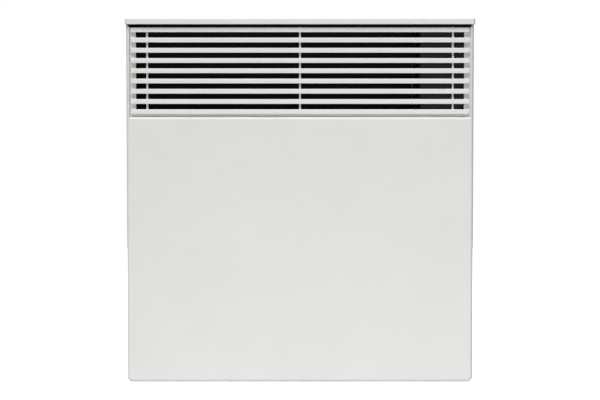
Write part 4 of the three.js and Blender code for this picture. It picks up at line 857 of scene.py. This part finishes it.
def shell_outline(inset):
    """Stations round the outline at each inset, in the order left side, bottom, right side.

    A corner's cut shrinks by 2 minus the root of 2 for each unit of inset, which keeps the
    sheet equally wide along the slanted edge. The side's upper end falls in a straight line from
    the hem to the first slat as the inset goes from the sheet's thickness to the lip.
    """
    cut = CORNER_CUT - inset * (2 - math.sqrt(2))
    slope = (hem_foot - SHELL_SHEET - slat_top) / (SIDE_LIP - SHELL_SHEET)
    lip = hem_foot - SHELL_SHEET - (inset - SHELL_SHEET) * slope
    height = np.where(inset < SHELL_SHEET, top, np.maximum(lip, slat_top))
    same = np.ones_like(inset)
    heights = [
        height,
        np.minimum(top - 3 * CORNER_CUT, height),
        fold_start * same,
        (bottom + 3 * CORNER_CUT) * same,
        bottom + inset + cut,
    ]
    side = np.stack([np.stack([left + inset, z], axis=-1) for z in heights], axis=1)
    corner = np.stack([left + inset + cut, bottom + inset], axis=-1)[:, None]
    half = np.concatenate([side, corner], axis=1)
    mirrored = half[:, ::-1] * np.array([-1.0, 1.0])
    return np.concatenate([half, mirrored], axis=1)


def kept_quads(rows, columns):
    """True for each quad that is sheet, and False where the folded corners are relieved.

    The front bend and lip run all the way round. The wall behind them has its sides and bottom,
    but no corners. Behind the bottom flange's edge only the sides go on, in four pieces each, and
    the rear bend and the return flange keep the two middle ones of them.
    """
    row, column = np.divmod(np.arange((rows - 1) * (columns - 1)), columns - 1)
    from_end = np.minimum(column, columns - 2 - column)
    wall = FLANGE_STEPS + 1  # the row from the rear bend to the bottom flange's edge
    sides = (from_end <= 3) & (row >= wall)
    flanges = (from_end >= 1) & (from_end <= 2) & (row < wall)
    bottom_wall = (column == columns // 2 - 1) & (row == wall + 1)
    return (row > wall + 1) | sides | flanges | bottom_wall


# %% Front shell
def front_shell():
    """The profile's inset and depth at each station of the outline, the face and the top fold."""
    profile = shell_profile()
    outline = shell_outline(profile[:, 0])
    rows, columns = outline.shape[:2]
    depth = np.broadcast_to(profile[:, 1][:, None], (rows, columns))
    points = np.stack([outline[..., 0], depth, outline[..., 1]], axis=-1)
    face = points[-1, 2:-2]
    turn = arc((front + TOP_FOLD, fold_top - TOP_FOLD), TOP_FOLD, 180, 90)
    fold = np.concatenate([[(front, fold_start)], turn, [(frame_front - FOLD_GAP, fold_top)]])
    piece = surface(
        "front_shell",
        [
            (points, grid_quads(rows, columns)[kept_quads(rows, columns)]),
            (face, [list(range(len(face)))]),
            straight_fold(fold, left + SIDE_LIP, right - SIDE_LIP),
        ],
    )
    return thicken(facing(piece, (0, -1, 0), (0, front, 0)), SHELL_SHEET)


shell = settle(front_shell(), "front_panel")
print("front shell:", len(shell.data.vertices), "vertices before its thickness")

# %% [markdown]
# ## The louvre slats
#
# A slat is a strip that is folded over at its top and hangs down in front of the gap. Its outer
# surface is a function of two parameters, the distance along the strip and the distance down its
# folded profile. Near the foot the ends are drawn in along a quarter circle, which rounds the two
# lower corners as a press tool does.

# %% Slats
SLAT_SHEET = 0.9
SLAT_CORNER = 1.2
SLAT_LEAN = 0.16
SLAT_BEND = 0.55
SLAT_STEPS = 6
SLAT_STATIONS = 9
SHELF_GAP = 0.05  # the shelf stops this far short of the solid's back


def slat_line(low, high):
    """Depth and height down the strip: a shelf on the frame, a tight bend and a leaning face.

    The face stands half a sheet behind the solid's front.
    """
    face = low[1] + SLAT_SHEET / 2
    middle_of_bend = (face + SLAT_LEAN + SLAT_BEND, high[2] - SLAT_BEND)
    bend = arc(middle_of_bend, SLAT_BEND, 90, 180, SLAT_STEPS)
    shelf = [(high[1] - SHELF_GAP, high[2])]
    foot = [(face, z) for z in np.linspace(low[2] + SLAT_CORNER, low[2], SLAT_STEPS)]
    return np.concatenate([shelf, bend, foot])


def louvre_slat(index):
    """X is a share of the slat's half width, drawn in near the foot by a quarter circle."""
    node = f"louvre_slat_{index}"
    low, high = box_mm(node)
    line = slat_line(low, high)
    above_foot = np.clip((line[:, 1] - low[2]) / SLAT_CORNER, 0, 1)
    drawn_in = SLAT_CORNER * (1 - np.sqrt(1 - (1 - above_foot) ** 2))
    share = np.linspace(-1, 1, SLAT_STATIONS)
    x = share[None, :] * (high[0] - drawn_in)[:, None]
    y, z = (np.broadcast_to(line[:, i, None], x.shape) for i in (0, 1))
    piece = surface(f"slat_strip_{index}", [(np.stack([x, y, z], axis=-1), grid_quads(*x.shape))])
    facing(piece, (0, -1, 0), (0, low[1], low[2]))
    return settle(thicken(piece, SLAT_SHEET), node)


slats = [louvre_slat(index) for index in range(1, 10)]
print("slats:", len(slats), "of width", round(2 * box_mm("louvre_slat_1")[1][0]), "mm")

# %% [markdown]
# ## The top cover
#
# The cover is a shallow tray turned upside down: a flat top, a narrow bend, and a hem along its
# front and both sides. The bend and hem are a profile carried along the rounded front outline, and
# the flat top is filled between that outline and the opening for the controls. At the back a short
# flange turns down for the cover's screws.

# %% Top cover
COVER_BEND = 1.6
COVER_CORNER = 3.0
COVER_FLANGE = 11.0
COVER_FLANGE_BEND = 1.0
HEM_LEAN = 0.12
HEM_TURN = 1.7
TRAY_RIM = 3.0  # the cover lies this far over the tray's rim
(cover_left, cover_front, _), (cover_right, cover_back, cover_top) = box_mm("top_cover")
tray_low, tray_high = box_mm("control_bezel")


def rounded_loop(low_x, high_x, low_y, high_y, radius, steps=6):
    """A closed rectangle with quarter circles at its corners, anticlockwise."""
    corners = ((high_x, high_y, 0), (low_x, high_y, 90), (low_x, low_y, 180), (high_x, low_y, 270))
    turns = []
    for x, y, start in corners:
        centre = (x - math.copysign(radius, x - (low_x + high_x) / 2),
                  y - math.copysign(radius, y - (low_y + high_y) / 2))
        turns.append(arc(centre, radius, start, start + 90, steps))
    return np.concatenate(turns)


def cover_path():
    """Places and outward normals along the cover's outline, from rear left round to rear right."""
    turn_left = arc((0, 0), 1.0, 180, 270)
    turn_right = arc((0, 0), 1.0, 270, 360)
    normals = np.concatenate([[(-1, 0)], turn_left, turn_right, [(1, 0)]])
    low_x, high_x = cover_left + COVER_CORNER, cover_right - COVER_CORNER
    corner_y = cover_front + COVER_CORNER
    middles = np.concatenate(
        [
            [(low_x, cover_back)],
            np.repeat([(low_x, corner_y)], len(turn_left), axis=0),
            np.repeat([(high_x, corner_y)], len(turn_right), axis=0),
            [(high_x, cover_back)],
        ]
    )
    return middles + normals * COVER_CORNER, normals


def top_cover():
    """The hem and bend carried along the outline, a flat top with its opening, a rear flange.

    Each point of the hem is the outline's point less its normal times the profile's inset.
    """
    path, normals = cover_path()
    bend = arc((HEM_LEAN + COVER_BEND, cover_top - COVER_BEND), COVER_BEND, 180, 90)
    profile = np.concatenate([[(0.0, hem_foot), (HEM_LEAN, hem_foot + HEM_TURN)], bend])
    flat = path[None] - normals[None] * profile[:, 0][:, None, None]
    heights = np.broadcast_to(profile[:, 1][:, None], flat.shape[:2])
    rim = np.concatenate([flat, heights[..., None]], axis=-1)
    outer = rim[-1]
    opening = rounded_loop(
        tray_low[0] + TRAY_RIM,
        tray_high[0] - TRAY_RIM,
        tray_low[1] + TRAY_RIM,
        tray_high[1] - TRAY_RIM,
        COVER_CORNER,
    )
    hole = np.column_stack([opening, np.full(len(opening), cover_top)])
    fill = tessellate_polygon([[Vector(point) for point in loop] for loop in (outer, hole)])
    reach = cover_right - COVER_CORNER - FLANGE
    middle_of_bend = (cover_back - COVER_FLANGE_BEND, cover_top - COVER_FLANGE_BEND)
    turned = arc(middle_of_bend, COVER_FLANGE_BEND, 90, 0, FLANGE_STEPS)
    flange = np.concatenate([turned, [(cover_back, cover_top - COVER_FLANGE)]])
    piece = surface(
        "cover_sheet",
        [
            (rim, grid_quads(*rim.shape[:2])),
            (np.concatenate([outer, hole]), fill),
            straight_fold(flange, -reach, reach),
        ],
    )
    return thicken(facing(piece, (0, 0, 1), (0, cover_front, cover_top)), SHELL_SHEET)


cover = settle(top_cover(), "top_cover")
print("cover:", len(cover.data.vertices), "vertices before its thickness")

# %% [markdown]
# ## A felt strip behind the shadow gap
#
# The tray of the controls stands close behind the gap below the hem. A black felt strip is stuck to
# its front as painted shade, so that the tray doesn't show and the gap stays dark. It comes in three
# lengths, of which the middle one ends above the right comb strip. Its section is a rounded
# rectangle carried along X.

# %% Felt strip
FELT_DEPTH = 0.9
FELT_GAP = 0.25
FELT_ROUND = 0.3
FELT_SWELL = 0.05
FELT_WAVE = 4.0
FELT_STATIONS = 12
FELT_OVERLAP = 0.8  # how far the felt goes below the first slat's top
FELT_CLEAR = 0.3
FELT_SEAM = 0.1
TIE_CLEAR = 0.4
PAST_TRAY_LEFT = 1.0
PAST_TRAY_RIGHT = 0.5


def felt_length(low_x, high_x, foot):
    """A rounded section along X, closed at both ends, whose depth swells with the sine of X."""
    face = tray_low[1] - FELT_GAP
    head = tray_high[2] - FELT_CLEAR
    section = rounded_loop(face - FELT_DEPTH, face, foot, head, FELT_ROUND, 3)
    x = np.linspace(low_x, high_x, FELT_STATIONS)
    swell = FELT_SWELL * np.sin(x / FELT_WAVE)
    depth = section[None, :, 0] - FELT_SWELL + swell[:, None]
    height = np.broadcast_to(section[:, 1], depth.shape)
    points = np.stack([np.broadcast_to(x[:, None], depth.shape), depth, height], axis=-1)
    ring = [list(range(len(section)))]
    quads = grid_quads(*depth.shape, closed=True)
    return [(points, quads), (points[0], ring), (points[-1], ring)]


tie_low, tie_high = box_mm("grille_tie_right")
felt_foot = slat_top - FELT_OVERLAP
felt = surface(
    "painted_shade_felt_strip",
    felt_length(tray_low[0] - PAST_TRAY_LEFT, tie_low[0] - TIE_CLEAR - FELT_SEAM, felt_foot)
    + felt_length(tie_low[0] - TIE_CLEAR, tie_high[0] + TIE_CLEAR, tie_high[2] + FELT_CLEAR)
    + felt_length(tie_high[0] + TIE_CLEAR + FELT_SEAM, tray_high[0] + PAST_TRAY_RIGHT, felt_foot),
)
# painted shade: the strip's black finish keeps the gap below the hem dark
felt.data.materials.append(FINISHES["black_sheet"])
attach(felt, body_of("control_bezel"))
print("felt strip:", len(felt.data.polygons), "faces")

# %% [markdown]
# ## The thermostat knob
#
# The knob is turned about its spindle, so each point has an angle and a place along its outline.
# The radius is drawn in by a cosine of 18 times the angle, which makes the flutes, and a narrow
# band of the top is lifted for the pointer. A round bore from below takes the spindle.

# %% Knob
FLUTES = 18
FLUTE_DEPTH = 0.6
FLUTE_START = 3.0  # the flutes begin this far in from the rim and are full a fade later
FLUTE_FADE = 2.0
KNOB_EDGE = 1.2
KNOB_CHAMFER = 0.4
KNOB_EYE = 0.02  # radius of the small cap that closes the middle
KNOB_TURN_STEPS = 288
BORE_GAP = 0.3
POINTER_HALF = 0.8
POINTER_RISE = 0.55
POINTER_INSET = 2.0
POINTER_STEP = 0.4
POINTER_SIDE = 0.25
CROWN_STEPS = 40


def knob_line(low, high, radius):
    """Radius and height along the knob's outline: crown, round edge, wall, foot and bore."""
    spindle_low, spindle_high = box_mm("thermostat_spindle")
    bore = (spindle_high[0] - spindle_low[0]) / 2 + BORE_GAP
    bore_top = spindle_high[2] + BORE_GAP
    crown = high[2] - POINTER_RISE
    across = np.linspace(KNOB_EYE, radius - KNOB_EDGE, CROWN_STEPS)
    flat = np.column_stack([across, np.full(len(across), crown)])
    edge = arc((radius - KNOB_EDGE, crown - KNOB_EDGE), KNOB_EDGE, 90, 0)
    foot = [
        (radius, low[2] + KNOB_CHAMFER),
        (radius - KNOB_CHAMFER, low[2]),
        (bore + BORE_GAP, low[2]),
        (bore, low[2] + BORE_GAP),
        (bore, bore_top),
        (KNOB_EYE, bore_top),
    ]
    return np.concatenate([flat, edge, foot]), len(flat) + len(edge)


def soft_step(value, width):
    """0 below and 1 above zero, with a straight ramp of that width between them."""
    return np.clip(value / width + 0.5, 0, 1)


def thermostat_knob():
    """The outline turned about the spindle, less a cosine for the flutes, plus the pointer."""
    low, high = box_mm("thermostat_knob")
    radius = (high[0] - low[0]) / 2
    line, top_points = knob_line(low, high, radius)
    angle = np.linspace(0, 2 * np.pi, KNOB_TURN_STEPS, endpoint=False)
    from_start = line[:, 0] - radius + FLUTE_START
    near_rim = np.clip(from_start / FLUTE_FADE, 0, 1) * (line[:, 0] > radius / 2)
    flute = FLUTE_DEPTH * (1 + np.cos(FLUTES * angle)) / 2
    reach = line[:, 0][:, None] - near_rim[:, None] * flute
    x, y = reach * np.cos(angle), reach * np.sin(angle)
    on_top = np.arange(len(line)) < top_points
    aside = soft_step(POINTER_HALF - np.abs(x), POINTER_SIDE)
    ahead = soft_step(-y - POINTER_INSET, POINTER_STEP)
    ahead = ahead * soft_step(radius - POINTER_INSET + y, POINTER_STEP)
    z = line[:, 1][:, None] + POINTER_RISE * aside * ahead * on_top[:, None]
    centre = (low + high) / 2
    points = np.stack([x + centre[0], y + centre[1], z], axis=-1)
    ring = [list(range(KNOB_TURN_STEPS))]
    quads = grid_quads(len(line), KNOB_TURN_STEPS, closed=True)
    return surface("fluted_knob", [(points, quads), (points[0], ring), (points[-1], ring)])


knob = settle(thermostat_knob(), "thermostat_knob")
print("knob:", len(knob.data.polygons), "faces,", FLUTES, "flutes")

# %% [markdown]
# ## Screws
#
# The casing and the cover are held from behind by pan-head screws. A head is a low dome over a
# short rim, and the cross recess is a pair of narrow bands pressed into it, so the whole visible
# side is one height over a disc: radius and angle are its two parameters.

# %% Screw heads
SCREW_STEPS = 96
HEAD_HEIGHT = 2.0
HEAD_RIM = 0.8
RECESS_HALF = 0.4
RECESS_REACH = 2.2
RECESS_DEPTH = 1.0
RECESS_SIDE = 0.12
RECESS_END = 0.3
DOME_STEPS = 25
DOME_EYE = 0.01  # the angle of the small cap that closes the middle
SHANK_CHAMFER = 0.4


def pan_head(node):
    """Dome height: a rim, then a quarter of an ellipse; the recess sinks where a band crosses."""
    low, high = box_mm(node)
    centre = (low + high) / 2
    radius = (high[0] - low[0]) / 2
    seat = high[1] - HEAD_HEIGHT
    share = np.sin(np.linspace(DOME_EYE, np.pi / 2, DOME_STEPS + 1))
    angle = np.linspace(0, 2 * np.pi, SCREW_STEPS, endpoint=False)
    reach = radius * share[:, None]
    x, z = reach * np.cos(angle), reach * np.sin(angle)
    dome = HEAD_RIM + (HEAD_HEIGHT - HEAD_RIM) * np.sqrt(np.clip(1 - share**2, 0, 1))
    near = np.minimum(np.abs(x), np.abs(z))
    inside = soft_step(RECESS_HALF - near, RECESS_SIDE)
    sunk = inside * soft_step(RECESS_REACH - reach, RECESS_END)
    y = seat + dome[:, None] - RECESS_DEPTH * sunk
    lower = np.array(
        [
            (radius, seat),
            (radius / 2, seat),
            (radius / 2, low[1] + SHANK_CHAMFER),
            (radius / 2 - SHANK_CHAMFER, low[1]),
        ]
    )
    around = lower[:, 0, None]
    height = np.broadcast_to(lower[:, 1, None], (len(lower), SCREW_STEPS))
    below = np.stack([around * np.cos(angle), height, around * np.sin(angle)], axis=-1)
    points = np.concatenate([np.stack([x, y, z], axis=-1), below])
    points = points + np.array([centre[0], 0, centre[2]])
    ring = [list(range(SCREW_STEPS))]
    quads = grid_quads(len(points), SCREW_STEPS, closed=True)
    piece = surface(f"{node}_head", [(points, quads), (points[0], ring), (points[-1], ring)])
    return settle(piece, node)


screws = [pan_head(node) for node in sorted(frame["nodes"]) if "screw" in node]
print("screws:", len(screws))

# %% [markdown]
# ## The inner and rear pieces
#
# The casing, the element, the controls and the bracket keep the shape of their solids. Remaking each
# of them would show little, so every solid that nothing stands for yet is dressed in one loop.

# %% Dress the inner and rear pieces
plain_nodes = sorted(set(frame["nodes"]) - settled)
for node in plain_nodes:
    dress(node)
print("dressed solids:", len(plain_nodes))

# %% [markdown]
# ## The stage
#
# The heater was photographed on plain white. It hangs on a wall in use, but here it floats over a
# pale floor, far enough below that no shadow touches it. The world is white only where the camera
# or a mirror looks at it; what it sends to the object is softer.

# %% Floor
FLOOR_DROP = 150 * MM
FLOOR_HALF = 4.0
FLOOR_TONE = 0.7
FLOOR_GLOW = 0.9
WHITE = (1.0, 1.0, 1.0, 1.0)

floor_z = cad_low.z - FLOOR_DROP
corners = [(x, y, floor_z) for x, y in ((-1, -1), (1, -1), (1, 1), (-1, 1))]
floor_mesh = bpy.data.meshes.new("studio_floor")
floor_mesh.from_pydata(
    [(x * FLOOR_HALF, y * FLOOR_HALF, z) for x, y, z in corners], [], [(0, 1, 2, 3)]
)
floor = new_piece("studio_floor", floor_mesh)


def seen_directly(tree):
    """1 where the camera, a mirror or a glass looks, and 0 where light is gathered."""
    rays = tree.nodes.new("ShaderNodeLightPath")
    shown = rays.outputs["Is Camera Ray"]
    for other in ("Is Glossy Ray", "Is Transmission Ray"):
        shown = math_node(tree, "MAXIMUM", shown, rays.outputs[other])
    return shown


def floor_finish():
    """Pale floor that glows a little to the camera, so that it reads as white paper."""
    material, tree, shader = new_finish("pale_floor", Roughness=0.9)
    shader.inputs["Base Color"].default_value = (FLOOR_TONE, FLOOR_TONE, FLOOR_TONE, 1.0)
    shader.inputs["Emission Color"].default_value = WHITE
    glow = math_node(tree, "MULTIPLY", seen_directly(tree), FLOOR_GLOW)
    join(tree, (glow, shader.inputs["Emission Strength"]))
    return material


floor_mesh.materials.append(floor_finish())
print("floor:", round((cad_low.z - floor_z) / MM), "mm below the heater")

# %% [markdown]
# ### World and lamps
#
# A front lamp alone would fill the gaps of the grille with light. A steep, wide key from above and
# from the left leaves them dark and draws the hem's shadow, and a weak fill from the front keeps the
# flat face and the undersides at the level of the photograph.

# %% World and lamps
AMBIENT = 0.06

world = bpy.data.worlds.new("studio_world")
world.use_nodes = True
bpy.context.scene.world = world
sky = world.node_tree.nodes["Background"]
shown = seen_directly(world.node_tree)
strength = world.node_tree.nodes.new("ShaderNodeMapRange")
strength.inputs["To Min"].default_value = AMBIENT
strength.inputs["To Max"].default_value = 1.0
join(
    world.node_tree,
    (shown, strength.inputs["Value"]),
    (strength.outputs["Result"], sky.inputs["Strength"]),
)
sky.inputs["Color"].default_value = WHITE


def aim(lamp, direction):
    """Links a lamp and turns it to shine along a direction."""
    lamp.rotation_mode = "QUATERNION"
    lamp.rotation_quaternion = Vector(direction).to_track_quat("-Z", "Y")
    bpy.context.scene.collection.objects.link(lamp)
    return lamp


def far_lamp(name, direction, spread, power):
    """A lamp so far away that it lights the top and the bottom alike, as wide as an angle."""
    data = bpy.data.lights.new(name, "SUN")
    data.angle = math.radians(spread)
    data.energy = power
    return aim(bpy.data.objects.new(name, data), direction)


def soft_lamp(name, place, size, power):
    """A square area lamp that faces the middle of the heater."""
    data = bpy.data.lights.new(name, "AREA")
    data.size = size
    data.energy = power
    lamp = bpy.data.objects.new(name, data)
    lamp.location = place
    return aim(lamp, middle - lamp.location)


far_lamp("key_lamp", (0.34, 1.0, -2.3), spread=20, power=3.6)
soft_lamp("fill_lamp", Vector((0.0, -2.4, -0.05)), size=1.2, power=9.0)
print("lamps: a key from above and a fill from the front, with an ambient level of", AMBIENT)

# %% [markdown]
# ### Dark cards
#
# A white piece on white needs dark cards beside it. Its bends mirror them at a flat angle, which
# draws a thin grey line down both sides, as on the photograph. The camera doesn't see the cards.

# %% Dark cards
CARD_SIDE = 0.75
CARD_DEPTH = (-1.9, 0.6)
CARD_HEIGHT = (-0.9, 0.9)
CARD_CORNERS = ((0, 0), (1, 0), (1, 1), (0, 1))


def dark_card(name, x):
    """An upright black card at one side, outside the picture."""
    material, _, shader = new_finish("card_black", Roughness=0.9)
    shader.inputs["Base Color"].default_value = linear(9, 9, 9)
    mesh = bpy.data.meshes.new(name)
    corners = [(x, CARD_DEPTH[i], CARD_HEIGHT[j]) for i, j in CARD_CORNERS]
    mesh.from_pydata(corners, [], [(0, 1, 2, 3)])
    mesh.materials.append(material)
    card = new_piece(name, mesh)
    card.visible_camera = False


dark_card("left_card", -CARD_SIDE)
dark_card("right_card", CARD_SIDE)
print("cards:", CARD_SIDE, "m to each side")

# %% [markdown]
# ### Colours as they are written
#
# A film-like view would turn white paint grey. The Standard view shows a colour as it is written.

# %% Colour settings
bpy.context.scene.view_settings.view_transform = "Standard"

# %% [markdown]
# ## Last step
#
# The view layer is brought up to date.

# %% Bring the view layer up to date
bpy.context.view_layer.update()
